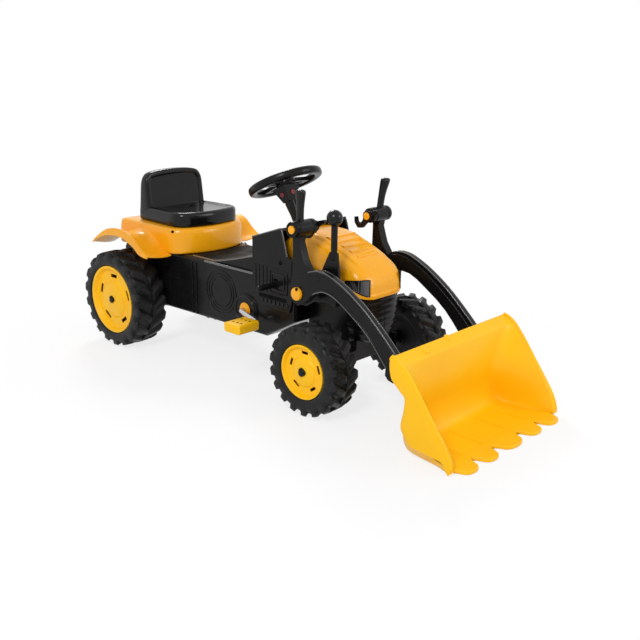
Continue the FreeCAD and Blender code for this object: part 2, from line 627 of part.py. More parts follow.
def crank():
    """A steel rod bent into two opposite cranks, each with a pedal on its end."""
    radius = s.crank_rod_radius
    pin_end = pedal_y + s.pedal_length / 2
    pieces = [rod_y("crank_axle", radius, -crank_arm_y, crank_arm_y, zero, zero)]
    for side, sign in SIDES:
        arm_y = crank_arm_y * sign
        pin_x = s.crank_throw * -sign
        low, high = (arm_y, pin_end) if sign > 0 else (-pin_end, arm_y)
        start_x = pin_x if sign > 0 else zero
        pieces.append(cylinder(f"crank_arm_{side}", radius, s.crank_throw, (start_x, arm_y, zero), ALONG_X))
        pieces.append(rod_y(f"crank_pin_{side}", radius, low, high, pin_x, zero))
        pieces.append(ball(f"crank_elbow_{side}", radius, (zero, arm_y, zero)))
        pieces.append(ball(f"crank_bend_{side}", radius, (pin_x, arm_y, zero)))
    turn = (Vector(0, 1, 0), SIZES["crank_angle"])
    rod = place(fuse("crank_shaft", pieces), (crank_x, zero, s.crank_height), turn)
    node(rod, "crank_shaft")
    for side, sign in SIDES:
        pedal(side, sign)


def pedal(side, sign):
    """A rounded pedal block on a crank pin."""
    name = f"pedal_{side}"
    x = crank_x - s.crank_throw * cosine(s.crank_angle) * sign
    z = s.crank_height + s.crank_throw * sine(s.crank_angle) * sign
    outline = at_shares(zero, zero, s.pedal_width / 2, s.pedal_thickness / 2, PEDAL_SHARES)
    body = new_body(name)
    pad(body, draw(sketch_on(body, "XZ_Plane"), outline), s.pedal_length)
    hole = draw_circle(sketch_on(body, "XZ_Plane"), zero, zero, s.crank_rod_radius + s.shaft_gap)
    pocket(body, hole, s.pedal_length * 2)
    node(place(body, (x, pedal_y * sign, z)), name)


def tow_hitch():
    """A flat tongue behind the hull with an upright hole for a trailer pin."""
    low = (hull_x - s.hitch_length, -s.hitch_half_width, s.hitch_height)
    high = (hull_x, s.hitch_half_width, s.hitch_height + s.hitch_thickness)
    hole_at = (hull_x - s.hitch_length + s.hitch_bore_setback, zero, s.hitch_height - s.cut_overrun)
    hole = cylinder("hitch_hole", s.hitch_bore_radius, s.hitch_thickness + s.cut_overrun * 2, hole_at)
    node(cut("tow_hitch", box("hitch_tongue", low, high), [hole]), "tow_hitch")


def mirrored(shares):
    """An outline from above, from its half on the left."""
    return [(along, -across) for along, across in shares] + list(reversed(shares))


def rear_body_block(name, inset, top_gap):
    """A block with the plan of the seat base, smaller by an inset all round and lower by a gap."""
    body = new_body(name)
    length, half = s.rear_body_length - inset * 2, s.rear_body_half_width - inset
    x = rear_axle_x - s.rear_body_rear + inset
    plan = at_shares(x, zero, length, half, mirrored(REAR_BODY_SHARES))
    sketch = draw(sketch_on(body, "XY_Plane", hull_top), plan)
    return body, pad(body, sketch, s.rear_body_height - top_gap, False)


def rear_body():
    """The seat base with its two fenders, one moulding that stands on the hull, open below."""
    body, block = rear_body_block("seat_base_block", zero, zero)
    top_z = SIZES["hull_bottom"] + SIZES["hull_height"] + SIZES["rear_body_height"]
    round_edges(body, block, s.rear_body_edge_radius, lambda middle, heading: is_near(middle.z, top_z))
    room, _ = rear_body_block("seat_base_room", s.moulded_wall, s.rear_body_edge_radius / 2)
    shell = cut("seat_base_shell", body, [room])
    inner = s.rear_body_half_width - s.moulded_wall
    span = s.fender_outer - inner
    fender_outline = at_shares(rear_axle_x - s.fender_rear, hull_top - s.fender_drop, s.fender_length,
                               s.fender_height, FENDER_SHARES)
    fenders = [plate(f"fender_{side_name}", fender_outline, span, (inner + span / 2) * sign)
               for side_name, sign in SIDES]
    node(fuse("rear_body", [shell] + fenders), "rear_body")


def seat():
    """A hard one-piece seat with a bowed front, whose back narrows to a rounded top."""
    x = rear_axle_x - s.seat_rear
    base = hull_top + s.rear_body_height
    side = new_body("seat_side")
    outline = at_shares(x, base, s.seat_length, s.seat_height, SEAT_SHARES)
    pad(side, draw(sketch_on(side, "XZ_Plane"), outline), s.seat_half_width * 2)
    face = new_body("seat_front")
    front_shares = [(-across, up) for across, up in SEAT_FRONT_SHARES] + list(reversed(SEAT_FRONT_SHARES))
    front = at_shares(zero, base, s.seat_half_width, s.seat_height, front_shares)
    pad(face, draw(sketch_on(face, "YZ_Plane"), front), s.seat_length * 2)
    place(face, (x, zero, zero))
    plan = new_body("seat_plan")
    above = at_shares(x, zero, s.seat_length, s.seat_half_width, mirrored(SEAT_PLAN_SHARES))
    pad(plan, draw(sketch_on(plan, "XY_Plane", base), above), s.seat_height, False)
    item = add("Part::MultiCommon", "seat")
    item.Shapes = [side, face, plan]
    node(item, "seat")


def console():
    """The dash tower, a cover that straddles the hull and is open towards the bonnet."""
    body = new_body("console_shell")
    x = rear_axle_x + s.console_distance
    outline = at_shares(x, s.console_bottom, s.console_length, s.console_height, CONSOLE_SHARES)
    pad(body, draw(sketch_on(body, "XZ_Plane"), outline), s.console_half_width * 2)
    inner = (s.hull_half_width + s.fit_gap) * 2
    low = s.console_bottom - s.cut_overrun
    deck = hull_top + s.fit_gap
    back, ahead = x - s.cut_overrun, x + s.console_length + s.cut_overrun
    saddle = [(back, low), (ahead, low), (ahead, deck), (back, deck)]
    pocket(body, draw(sketch_on(body, "XZ_Plane"), saddle), inner)
    room = at_shares(x, s.console_bottom, s.console_length, s.console_height, CONSOLE_HOLLOW_SHARES)
    pocket(body, draw(sketch_on(body, "XZ_Plane"), room), inner)
    width = s.console_half_width + s.cut_overrun
    holes = [rod_y("console_screw_hole", s.screw_radius + s.shaft_gap, -width, width,
                   rear_axle_x + s.screw_distance, s.screw_height)]
    half = s.stub_radius + s.stub_gap
    rise = half + s.stub_slot_rise
    slot_low = (stub_x - half, -width, s.stub_height - rise)
    slot_high = (stub_x + half, -s.hull_half_width, s.stub_height + rise)
    holes.append(box("stub_slot", slot_low, slot_high))
    holes.append(cylinder("stub_pin_groove", s.stub_pin_radius + s.shaft_gap, s.stub_pin_length,
                          (stub_x - s.stub_pin_length / 2, stub_pivot_y, s.stub_height), ALONG_X))
    holes.append(cylinder_down("console_tunnel", s.column_low_radius + s.fit_gap,
                               s.shaft_length / 2, (steering_x, zero, s.steering_height)))
    node(cut("console", body, holes), "console")
    screw_x = rear_axle_x + s.screw_distance
    screws = []
    for side, sign in SIDES:
        outer = (s.console_half_width - s.fit_gap) * sign
        inner_end = outer - s.screw_length * sign
        low_y, high_y = (inner_end, outer) if sign > 0 else (outer, inner_end)
        screws.append(rod_y(f"console_screw_{side}", s.screw_radius, low_y, high_y, screw_x, s.screw_height))
    node(group("console_screws", screws), "console_screws")


stub_pivot_y = -(s.hull_half_width + s.console_half_width) / 2


def stub_lever():
    """A short lever that sticks out of the right side of the console and rocks on a cross pin."""
    start = -(s.hull_half_width + s.stub_gap * 2)
    end = -(s.console_half_width + s.stub_length)
    rod = rod_y("stub_rod", s.stub_radius, end, start, stub_x, s.stub_height)
    tip = ball("stub_tip", s.stub_radius, (stub_x, end, s.stub_height))
    pin_length = s.stub_pin_length - s.fit_gap * 2
    pin = cylinder("stub_pin", s.stub_pin_radius, pin_length,
                   (stub_x - pin_length / 2, stub_pivot_y, s.stub_height), ALONG_X)
    node(fuse("stub_lever", [rod, tip, pin]), "stub_lever")


def on_steering(item, name):
    """Seats a piece that was made about the steering axis at its place on the toy."""
    return node(place(item, (steering_x, zero, s.steering_height), steering_turn), name)


def steering():
    """Wheel, hub box with two buttons, rod and column. All are made with the axis upright."""
    tube = s.steering_rim_thickness / 2
    ring = add("Part::Torus", "steering_ring")
    bind(ring, "Radius1", s.steering_wheel_radius - tube)
    bind(ring, "Radius2", tube)
    reach = s.steering_wheel_radius - tube
    thick = s.spoke_thickness / 2
    half = s.spoke_width / 2
    spokes = [box("spoke_right", (-half, -reach, -thick), (half, zero, thick)),
              box("spoke_left", (-half, zero, -thick), (half, reach, thick)),
              box("spoke_rear", (-reach, -half, -thick), (zero, half, thick))]
    boss_low = -tube
    boss = cylinder("steering_boss", s.steering_boss_radius, tube + s.spoke_thickness, (zero, zero, boss_low))
    bore_at = (zero, zero, boss_low - s.fit_gap)
    bore = cylinder("steering_bore", s.shaft_radius + s.shaft_gap, tube + s.fit_gap, bore_at)
    solid = fuse("steering_solid", [ring] + spokes + [boss])
    on_steering(cut("steering_wheel", solid, [bore]), "steering_wheel")
    steering_hub(boss_low)
    steering_rod()
    steering_column(boss_low - s.hub_box_height - s.fit_gap)


def steering_column(top):
    """The flared sleeve under the hub, with a neck that stands in the console."""
    waist = top - s.column_length
    low = waist - s.neck_length
    waist_at = (zero, zero, waist)
    flare = cone("column_cone", s.column_low_radius, s.column_top_radius, s.column_length, waist_at)
    neck = cylinder("column_neck", s.column_low_radius, s.neck_length, (zero, zero, low))
    room = cylinder("column_bore", s.shaft_radius + s.shaft_gap, top - low + s.cut_overrun * 2,
                    (zero, zero, low - s.cut_overrun))
    on_steering(cut("steering_column", fuse("column_solid", [flare, neck]), [room]), "steering_column")


def steering_hub(top):
    """The tapered box under the wheel, with a button on its front and one on its right face."""
    body = new_body("hub_box_body")
    taper_share, low_setback_share = 0.55, 0.5
    loft = body.newObject("PartDesign::AdditiveLoft", "hub_box_loft")
    sections = []
    setback = s.hub_box_setback
    for level, share, centre in ((top, 1, -setback),
                                 (top - s.hub_box_height, taper_share, -setback * low_setback_share)):
        half_x = s.hub_box_depth / 2 * share
        half_y = s.hub_box_width / 2 * share
        rear, front = centre - half_x, centre + half_x
        corners = [(rear, -half_y), (front, -half_y), (front, half_y), (rear, half_y)]
        sections.append(draw(sketch_on(body, "XY_Plane", level), corners))
    loft.Profile = sections[0]
    loft.Sections = [sections[1]]
    loft.Ruled = True
    body.Tip = loft
    bore = cylinder("hub_box_bore", s.shaft_radius + s.shaft_gap, s.hub_box_height + s.cut_overrun * 2,
                    (zero, zero, top - s.hub_box_height - s.cut_overrun))
    draft = (1 - taper_share) / 2
    front_draft = SIZES["hub_box_depth"] * draft - SIZES["hub_box_setback"] * low_setback_share
    lean = math.degrees(math.atan2(front_draft, SIZES["hub_box_height"]))
    side_lean = math.degrees(math.atan2(SIZES["hub_box_width"] * draft, SIZES["hub_box_height"]))
    middle_share = (1 + taper_share) / 2
    middle_x = -setback * ((1 + low_setback_share) / 2)
    middle_z = top - s.hub_box_height / 2
    spots = {"horn_button": ((middle_x + s.hub_box_depth / 2 * middle_share, zero, middle_z),
                             (Vector(0, 1, 0), 90 + lean)),
             "sound_button": ((middle_x, -s.hub_box_width / 2 * middle_share, middle_z),
                              (Vector(1, 0, 0), 90 + side_lean))}
    wells = []
    depth = s.button_height + s.button_travel * 2
    well_radius = s.button_radius + s.fit_gap
    for name, (at, turn) in spots.items():
        out = Rotation(*turn).multVec(Vector(0, 0, 1))
        start = [spot - depth * share for spot, share in zip(at, (out.x, out.y, out.z))]
        wells.append(cylinder(name + "_well", well_radius, depth + s.cut_overrun, start, turn))
        seat_depth = depth - s.button_travel - s.fit_gap
        seat_at = [spot - seat_depth * share for spot, share in zip(at, (out.x, out.y, out.z))]
        button = cylinder(name + "_part", s.button_radius, depth, seat_at, turn)
        on_steering(group(name, [button]), name)
    on_steering(cut("steering_hub", body, [bore] + wells), "steering_hub")


def steering_rod():
    """The steel steering rod. Its lower end is a crank that points back, with a pin in the tie rod."""
    low = -s.shaft_length
    length = s.shaft_length - s.steering_rim_thickness / 2
    shaft = cylinder("steering_shaft_rod", s.shaft_radius, length, (zero, zero, low))
    bend = ball("steering_bend", s.shaft_radius, (zero, zero, low))
    back = -s.pitman_length
    arm = cylinder("pitman_arm", s.pitman_radius, s.pitman_length, (back, zero, low), ALONG_X)
    elbow = ball("pitman_elbow", s.pitman_radius, (back, zero, low))
    pin_at = (back, zero, low - s.pitman_pin_length)
    pin = cylinder("pitman_pin", s.pitman_radius, s.pitman_pin_length, pin_at)
    on_steering(fuse("steering_shaft", [shaft, bend, arm, elbow, pin]), "steering_shaft")


def deck_line(along):
    """Height of the bonnet's seat at a share of the nose's length."""
    return s.deck_rear_height + (s.deck_front_height - s.deck_rear_height) * along


def seat_height(x):
    """Height of the bonnet's seat at a place along the toy."""
    return deck_line((x - nose_x) / s.nose_length)


def nose_frame():
    """The narrow front of the chassis: a block between the wheels, arched shoulders and the bonnet's deck."""
    front = nose_x + s.nose_length
    sunk = s.deck_thickness / 2
    core_outline = [(nose_x, s.nose_bottom), (front, s.nose_bottom), (front, deck_line(1) - sunk),
                    (nose_x, deck_line(0) - sunk)]
    core = plate("nose_core", core_outline, s.nose_half_width * 2, zero)
    share = SIZES["shoulder_length"] / SIZES["nose_length"]
    low = s.deck_rear_height - s.shoulder_height
    arch = at_shares(nose_x, low, s.shoulder_length, s.shoulder_height, SHOULDER_SHARES)
    shoulder_outline = arch + [(nose_x + s.shoulder_length, deck_line(share)), (nose_x, deck_line(0))]
    shoulder = plate("nose_shoulder", shoulder_outline, s.shoulder_half_width * 2, zero)
    deck_outline = [(nose_x, deck_line(0) - s.deck_thickness), (front, deck_line(1) - s.deck_thickness),
                    (front, deck_line(1)), (nose_x, deck_line(0))]
    deck = plate("nose_deck", deck_outline, (s.bonnet_half_width - s.moulded_wall) * 2, zero)
    reach = s.shoulder_half_width + s.cut_overrun
    bore_radius = s.loader_shaft_radius + s.shaft_gap
    bore = rod_y("loader_bore", bore_radius, -reach, reach, loader_x, s.loader_pivot_height)
    solid = fuse("nose_solid", [core, shoulder, deck])
    node(cut("nose_frame", solid, [bore, steering_tunnel("nose_tunnel")]), "nose_frame")


def bonnet_form(name, inset, overrun):
    """The solid form of the bonnet, smaller by an inset and longer by an overrun at the rear and below."""
    x = rear_axle_x + s.bonnet_distance
    low_front = seat_height(x + s.bonnet_length)
    length, height = s.bonnet_length - inset, s.bonnet_height - inset
    crest = at_shares(x, low_front, length, height, BONNET_SHARES)
    outline = [(x - overrun, seat_height(x) - overrun), (x - overrun, crest[0][1])]
    outline += crest[1:-1] + [(crest[-1][0], low_front - overrun)]
    body = new_body(name)
    half_width = s.bonnet_half_width - inset
    block = pad(body, draw(sketch_on(body, "XZ_Plane"), outline), half_width * 2)
    half = half_width.value
    nose_share, crown_share = 0.95, 0.5
    nose_start = x.value + SIZES["bonnet_length"] * nose_share
    crown = low_front.value + SIZES["bonnet_height"] * crown_share

    def at_nose(middle, heading):
        return is_near(abs(middle.y), half) and middle.x > nose_start

    def along_top(middle, heading):
        return is_near(abs(middle.y), half) and middle.z > crown and abs(heading.x) > abs(heading.z)

    nose = round_edges(body, block, s.bonnet_nose_radius - inset, at_nose)
    round_edges(body, nose, s.bonnet_top_radius - inset, along_top)
    return body


def bonnet():
    """The bonnet shell with its headlights, which fill two openings at the front corners."""
    room = bonnet_form("bonnet_room", s.bonnet_wall, s.cut_overrun)
    shell = cut("bonnet_shell", bonnet_form("bonnet_solid", zero, zero), [room])
    front = rear_axle_x + s.bonnet_distance + s.bonnet_length
    low_front = seat_height(front)
    openings = []
    for side, sign in SIDES:
        low_y, high_y = (s.lamp_inset, s.bonnet_half_width + s.cut_overrun)
        if sign < 0:
            low_y, high_y = -high_y, -low_y
        base = low_front + s.lamp_lift
        corner_low = (front - s.lamp_length, low_y, base)
        corner_high = (front + s.cut_overrun, high_y, base + s.lamp_height)
        lamp = add("Part::Common", f"headlight_{side}")
        lamp.Base = shell
        lamp.Tool = box(f"lamp_box_{side}", corner_low, corner_high)
        wide_low = [spot - s.fit_gap for spot in corner_low]
        wide_high = [spot + s.fit_gap for spot in corner_high]
        openings.append(box(f"lamp_opening_{side}", wide_low, wide_high))
        node(lamp, f"headlight_{side}")
    node(cut("bonnet", shell, openings), "bonnet")


def grille():
    """The rounded nose below the bonnet, tapering towards the front axle."""
    body = new_body("grille_block")
    rear = nose_x + s.nose_length + s.fit_gap
    front = rear_axle_x + s.bonnet_distance + s.bonnet_length
    top = deck_line(1)
    loft = body.newObject("PartDesign::AdditiveLoft", "grille_loft")
    sections = []
    for level, half in ((top, s.grille_half_width), (s.grille_waist_height, s.grille_waist_half_width),
                        (s.grille_low_height, s.grille_low_half_width)):
        corners = [(rear + (front - rear) * along, half * across) for along, across in GRILLE_SHARES]
        sections.append(draw(sketch_on(body, "XY_Plane", level), corners))
    loft.Profile = sections[0]
    loft.Sections = sections[1:]
    loft.Ruled = True
    body.Tip = loft
    back, ahead = rear - s.cut_overrun, front + s.cut_overrun
    above = [(back, seat_height(back) - s.fit_gap), (ahead, seat_height(ahead) - s.fit_gap),
             (ahead, top + s.cut_overrun), (back, top + s.cut_overrun)]
    lid = plate("grille_lid", above, (s.grille_half_width + s.cut_overrun) * 2, zero)
    node(cut("grille", body, [lid]), "grille")


def front_axle():
    """The beam under the nose, with an upright bored boss at each end."""
    half = s.beam_height / 2
    low, high = s.front_wheel_radius - half, s.front_wheel_radius + half
    depth = s.beam_depth / 2
    rear, front = front_axle_x - depth, front_axle_x + depth
    ends = [(side, s.kingpin_offset * sign) for side, sign in SIDES]
    beam = box("beam_bar", (rear, -s.kingpin_offset, low), (front, s.kingpin_offset, high))
    half_saddle = s.saddle_half_width
    saddle = box("beam_saddle", (rear, -half_saddle, low), (front, half_saddle, s.nose_bottom))
    bosses = [cylinder(f"beam_boss_{side}", depth, s.beam_height, (front_axle_x, y, low)) for side, y in ends]
    bore_length = s.beam_height + s.cut_overrun * 2
    bores = [cylinder(f"beam_bore_{side}", s.kingpin_radius + s.shaft_gap, bore_length,
                      (front_axle_x, y, low - s.cut_overrun)) for side, y in ends]
    node(cut("front_axle_beam", fuse("beam_solid", [beam, saddle] + bosses), bores), "front_axle_beam")
    for side, sign in SIDES:
        knuckle(side, sign, low, high)
    tie_rod(low)


def knuckle(side, sign, low, high):
    """A forked stub axle that turns on its kingpin, with an arm for the tie rod."""
    name = f"knuckle_{side}"
    y = s.kingpin_offset * sign
    depth = s.beam_depth / 2
    web_in = s.kingpin_offset + depth + s.fit_gap * 2
    web_out = web_in + s.knuckle_web
    top_low = high + s.fit_gap
    top_high = top_low + s.knuckle_plate
    low_high = low - s.fit_gap
    low_low = low_high - s.knuckle_plate

    def span(one, two):
        return (one, two) if sign > 0 else (-two, -one)

    rear, front = front_axle_x - depth, front_axle_x + depth
    fork_share = 0.8
    fork_y = span(s.kingpin_offset - depth * fork_share, web_out)
    web_y = span(web_in, web_out)
    strip = s.arm_strip_width / 2
    arm_y = span(s.kingpin_offset - strip, s.kingpin_offset + strip)
    arm_end = front_axle_x - s.steering_arm - strip
    axle_end = s.front_track_half + s.front_tyre_width * HUB_FACE_SHARE + s.axle_stub
    stub_y = span(web_in, axle_end)
    pin_at = (front_axle_x - s.steering_arm, y, low_low - s.tie_pin_drop)
    pieces = [box(name + "_top", (rear, fork_y[0], top_low), (front, fork_y[1], top_high)),
              box(name + "_low", (rear, fork_y[0], low_low), (front, fork_y[1], low_high)),
              box(name + "_web", (rear, web_y[0], low_low), (front, web_y[1], top_high)),
              box(name + "_arm", (arm_end, arm_y[0], low_low), (front_axle_x, arm_y[1], low_high)),
              cylinder(name + "_kingpin", s.kingpin_radius, top_high - low_low, (front_axle_x, y, low_low)),
              cylinder(name + "_tie_pin", s.tie_pin_radius, s.tie_pin_length, pin_at),
              rod_y(name + "_stub", s.axle_radius, stub_y[0], stub_y[1], front_axle_x, s.front_wheel_radius)]
    node(fuse(name, pieces), name)


def tie_rod(beam_low):
    """A flat bar between the two steering arms, with a slotted plate for the pin of the steering rod."""
    x = front_axle_x - s.steering_arm
    high = beam_low - s.fit_gap - s.knuckle_plate - s.fit_gap
    low = high - s.tie_rod_thickness
    half = s.tie_rod_width / 2
    long, wide = s.tie_plate_half_length, s.tie_plate_half_width
    bar = box("tie_bar", (x - half, -s.kingpin_offset, low), (x + half, s.kingpin_offset, high))
    middle = box("tie_plate", (x - long, -wide, low), (x + long, wide, high))
    ends = [(side, s.kingpin_offset * sign) for side, sign in SIDES]
    eyes = [cylinder(f"tie_eye_{side}", half, s.tie_rod_thickness, (x, y, low)) for side, y in ends]
    hole_low, hole_high = low - s.cut_overrun, high + s.cut_overrun
    hole_radius = s.tie_pin_radius + s.shaft_gap
    depth = hole_high - hole_low
    holes = [cylinder(f"tie_hole_{side}", hole_radius, depth, (x, y, hole_low)) for side, y in ends]
    slot_x, slot_y = s.tie_slot_half_length, s.tie_slot_half_width
    holes.append(box("tie_slot", (x - slot_x, -slot_y, hole_low), (x + slot_x, slot_y, hole_high)))
    node(cut("tie_rod", fuse("tie_solid", [bar, middle] + eyes), holes), "tie_rod")


def arm_outline():
    """The loader arm from the side: a post over the pivot and a bowed arm to the bucket."""
    span = bucket_pivot_x - loader_x
    drop = s.loader_pivot_height - s.bucket_pivot_height
    pivot = (loader_x, s.loader_pivot_height)
    post = at_shares(*pivot, s.pivot_boss_radius, s.post_height, POST_SHARES)
    upper = at_shares(*pivot, span, drop, ARM_UPPER_SHARES)
    lower = at_shares(*pivot, span, drop, ARM_LOWER_SHARES)
    end = at_shares(bucket_pivot_x, s.bucket_pivot_height, s.arm_end_radius, s.arm_end_radius, END_SHARES)
    heel = at_shares(*pivot, s.pivot_boss_radius, s.pivot_boss_radius, HEEL_SHARES)
    return post + upper + end + lower + heel


def loader_arm(side, sign):
    name = f"loader_arm_{side}"
    blank = plate(name + "_blank", arm_outline(), s.arm_thickness, s.arm_centre * sign)
    reach = arm_outer + s.cut_overrun
    holes = [rod_y(f"{name}_{what}", radius, -reach, reach, x, z) for what, radius, x, z in (
        ("pivot_bore", s.loader_shaft_radius + s.shaft_gap, loader_x, s.loader_pivot_height),
        ("cradle", s.knob_radius + s.fit_gap, knob_x, knob_z),
        ("pin_bore", s.bucket_pin_radius + s.shaft_gap, bucket_pivot_x, s.bucket_pivot_height))]
    if side == "right":
        bore_radius = s.bucket_pin_radius + s.shaft_gap
        holes.append(rod_y(name + "_lever_bore", bore_radius, -reach, reach, lever_x, s.lever_height))
    node(cut(name, blank, holes), name)


def loader_handle(side, sign):
    """The knob barrel on the post, its stub for the latch hook, and the grip."""
    name = f"loader_handle_{side}"

    def span(one, two):
        return (one, two) if sign > 0 else (-two, -one)

    barrel_y = span(s.knob_inner, s.knob_inner + s.knob_length)
    stub_y = span(s.knob_inner - s.hook_thickness - s.hook_gap * 2, s.knob_inner)
    barrel = rod_y(name + "_barrel", s.knob_radius, barrel_y[0], barrel_y[1], knob_x, knob_z)
    stub = rod_y(name + "_stub", s.knob_stub_radius, stub_y[0], stub_y[1], knob_x, knob_z)
    outline = at_shares(knob_x, knob_z, s.grip_half_width, s.grip_height, GRIP_SHARES)
    grip = plate(name + "_grip", outline, s.grip_thickness, s.arm_centre * sign)
    node(fuse(name, [barrel, stub, grip]), name)
    outer = s.knob_inner + s.knob_length
    inner = s.knob_inner - s.hook_thickness - s.hook_gap * 2
    ends = (span(outer, outer + s.knob_cap_height), span(inner - s.knob_cap_height, inner))
    return [rod_y(f"{name}_cap_{number}", s.knob_cap_radius, low, high, knob_x, knob_z)
            for number, (low, high) in enumerate(ends)]


def latch_hook(side, sign):
    """A rocking latch on the knob's stub: a hook behind and a thumb lever in front."""
    name = f"latch_hook_{side}"
    middle = (s.knob_inner - s.hook_gap - s.hook_thickness / 2) * sign
    outline = at_shares(knob_x, knob_z, s.hook_reach, s.hook_reach, HOOK_SHARES)
    blank = plate(name + "_blank", outline, s.hook_thickness, middle)
    half = s.hook_thickness / 2
    eye = rod_y(name + "_eye", s.hook_eye_radius, middle - half, middle + half, knob_x, knob_z)
    hole = rod_y(name + "_hole", s.knob_stub_radius + s.shaft_gap, middle - half - s.cut_overrun,
                 middle + half + s.cut_overrun, knob_x, knob_z)
    node(cut(name, fuse(name + "_solid", [blank, eye]), [hole]), name)


def loader():
    """Both arms on their shaft, with handles, hooks, caps and pins."""
    knob_caps = []
    pivot_caps = []
    pivot = (loader_x, s.loader_pivot_height)
    for side, sign in SIDES:
        loader_arm(side, sign)
        knob_caps += loader_handle(side, sign)
        latch_hook(side, sign)
        low, high = (arm_outer, arm_outer + s.pivot_cap_height)
        if sign < 0:
            low, high = -high, -low
        pivot_caps.append(rod_y(f"pivot_cap_{side}", s.pivot_cap_radius, low, high, *pivot))
    node(rod_y("loader_shaft", s.loader_shaft_radius, -arm_outer, arm_outer, *pivot), "loader_shaft")
    node(group("pivot_caps", pivot_caps), "pivot_caps")
    node(group("knob_caps", knob_caps), "knob_caps")


def bucket_back():
    """The two corners of the bucket's back that its brackets sit against."""
    corners = (BUCKET_SHARES[0], BUCKET_SHARES[-1])
    return at_shares(bucket_x, zero, s.bucket_depth, s.bucket_height, corners)


def bucket():
    """The bucket with its five teeth."""
    body = new_body("bucket_shell")
    outline = at_shares(bucket_x, zero, s.bucket_depth, s.bucket_height, BUCKET_SHARES)
    pad(body, draw(sketch_on(body, "XZ_Plane"), outline), s.bucket_half_width * 2)
    room = at_shares(bucket_x, zero, s.bucket_depth, s.bucket_height, BUCKET_HOLLOW_SHARES)
    pocket(body, draw(sketch_on(body, "XZ_Plane"), room), (s.bucket_half_width - s.bucket_wall) * 2)
    teeth = [tooth(number) for number in (-2, -1, 0, 1, 2)]
    node(fuse("bucket", [body] + teeth), "bucket")
    bucket_brackets()


def bucket_brackets():
    """Pairs of ears that hold the arms' ends, and their pins."""
    brackets = []
    pivot = (bucket_pivot_x, s.bucket_pivot_height)
    ear = bucket_back() + at_shares(*pivot, s.ear_size, s.ear_size, reversed(EAR_SHARES))
    ear_gap = s.fit_gap + s.ear_thickness / 2
    inner, outer = arm_inner - s.fit_gap - s.ear_thickness, arm_outer + s.fit_gap + s.ear_thickness
    pins = [rod_y("bucket_link_pin", s.link_pin_radius, -(arm_inner - s.fit_gap), link_low, *link_end)]
    reach = outer + s.cut_overrun
    for side, sign in SIDES:
        pair = [plate(f"ear_{side}_inner", ear, s.ear_thickness, (arm_inner - ear_gap) * sign),
                plate(f"ear_{side}_outer", ear, s.ear_thickness, (arm_outer + ear_gap) * sign)]
        holes = [rod_y(f"ear_{side}_hole", s.bucket_pin_radius + s.shaft_gap, -reach, reach, *pivot)]
        if side == "right":
            hole_radius = s.link_pin_radius + s.shaft_gap
            holes.append(rod_y("ear_link_hole", hole_radius, -arm_inner, s.cut_overrun - inner, *link_end))
        brackets += [cut(f"bracket_{side}_{number}", piece, holes) for number, piece in enumerate(pair)]
        low_y, high_y = (inner, outer) if sign > 0 else (-outer, -inner)
        pins.append(rod_y(f"bucket_pin_{side}", s.bucket_pin_radius, low_y, high_y, *pivot))
    node(group("bucket_brackets", brackets), "bucket_brackets")
    node(group("bucket_pins", pins), "bucket_pins")


def tooth(number):
    """One rounded tooth on the bucket's lip. The middle one is the widest."""
    width = s.centre_tooth_width if number == 0 else s.tooth_width
    body = new_body(f"tooth_{number + 2}")
    lip_share = 0.945
    start = bucket_x + s.bucket_depth * lip_share - s.tooth_length / 2
    length = tip_x - start
    middle = (s.tooth_pitch + (s.centre_tooth_width - s.tooth_width) / 4) * number
    corners = [(start + length * along, middle + width * across) for along, across in TOOTH_SHARES]
    sketch = draw(sketch_on(body, "XY_Plane", s.tooth_thickness / 2), corners)
    pad(body, sketch, s.tooth_thickness, False)
    return body


# The tilt linkage is a parallelogram, so that lever and bucket turn alike
link_span_x = bucket_pivot_x - lever_x
link_span_z = s.bucket_pivot_height - s.lever_height
link_span = root(link_span_x * link_span_x + link_span_z * link_span_z)
link_start = (lever_x - s.link_setback, s.lever_height - s.link_drop)
link_end = (bucket_pivot_x - s.link_setback, s.bucket_pivot_height - s.link_drop)
lever_outer = -(arm_inner - s.lever_gap)
lever_inner = lever_outer + s.lever_thickness
link_outer = lever_inner + s.link_gap
link_inner = link_outer + s.link_thickness
link_low = link_inner + s.link_gap


def tilt_lever():
    """The lever on the right arm that tips the bucket, with its ball, pivot pin and link."""
    outline = [(lever_x + s.lever_base_length * along, s.lever_height + s.lever_base_height * up)
               for along, up in LEVER_SHARES]
    middle = lever_outer + s.lever_thickness / 2
    blank = plate("lever_blank", outline, s.lever_thickness, middle)
    hole = rod_y("lever_hole", s.bucket_pin_radius + s.shaft_gap, lever_outer - s.cut_overrun,
                 lever_inner + s.cut_overrun, lever_x, s.lever_height)
    foot_share = 0.3
    rod_length = s.lever_reach * (1 - foot_share)
    foot = (lever_x + s.lever_lean, middle, s.lever_height + s.lever_reach * foot_share)
    rod = cylinder("lever_rod", s.lever_rod_radius, rod_length, foot)
    pin = rod_y("lever_link_pin", s.link_pin_radius, middle, link_low, *link_start)
    node(cut("tilt_lever", fuse("lever_solid", [blank, rod, pin]), [hole]), "tilt_lever")
    top = (lever_x + s.lever_lean, middle, s.lever_height + s.lever_reach)
    knob = ball("lever_ball_solid", s.ball_radius, top)
    socket_radius = s.lever_rod_radius + s.shaft_gap
    socket = cylinder("lever_ball_socket", socket_radius, rod_length + s.fit_gap, foot)
    node(cut("lever_ball", knob, [socket]), "lever_ball")
    pin_place = (lever_x, s.lever_height)
    node(rod_y("lever_pin", s.bucket_pin_radius, -arm_outer, lever_inner, *pin_place), "lever_pin")
    link()


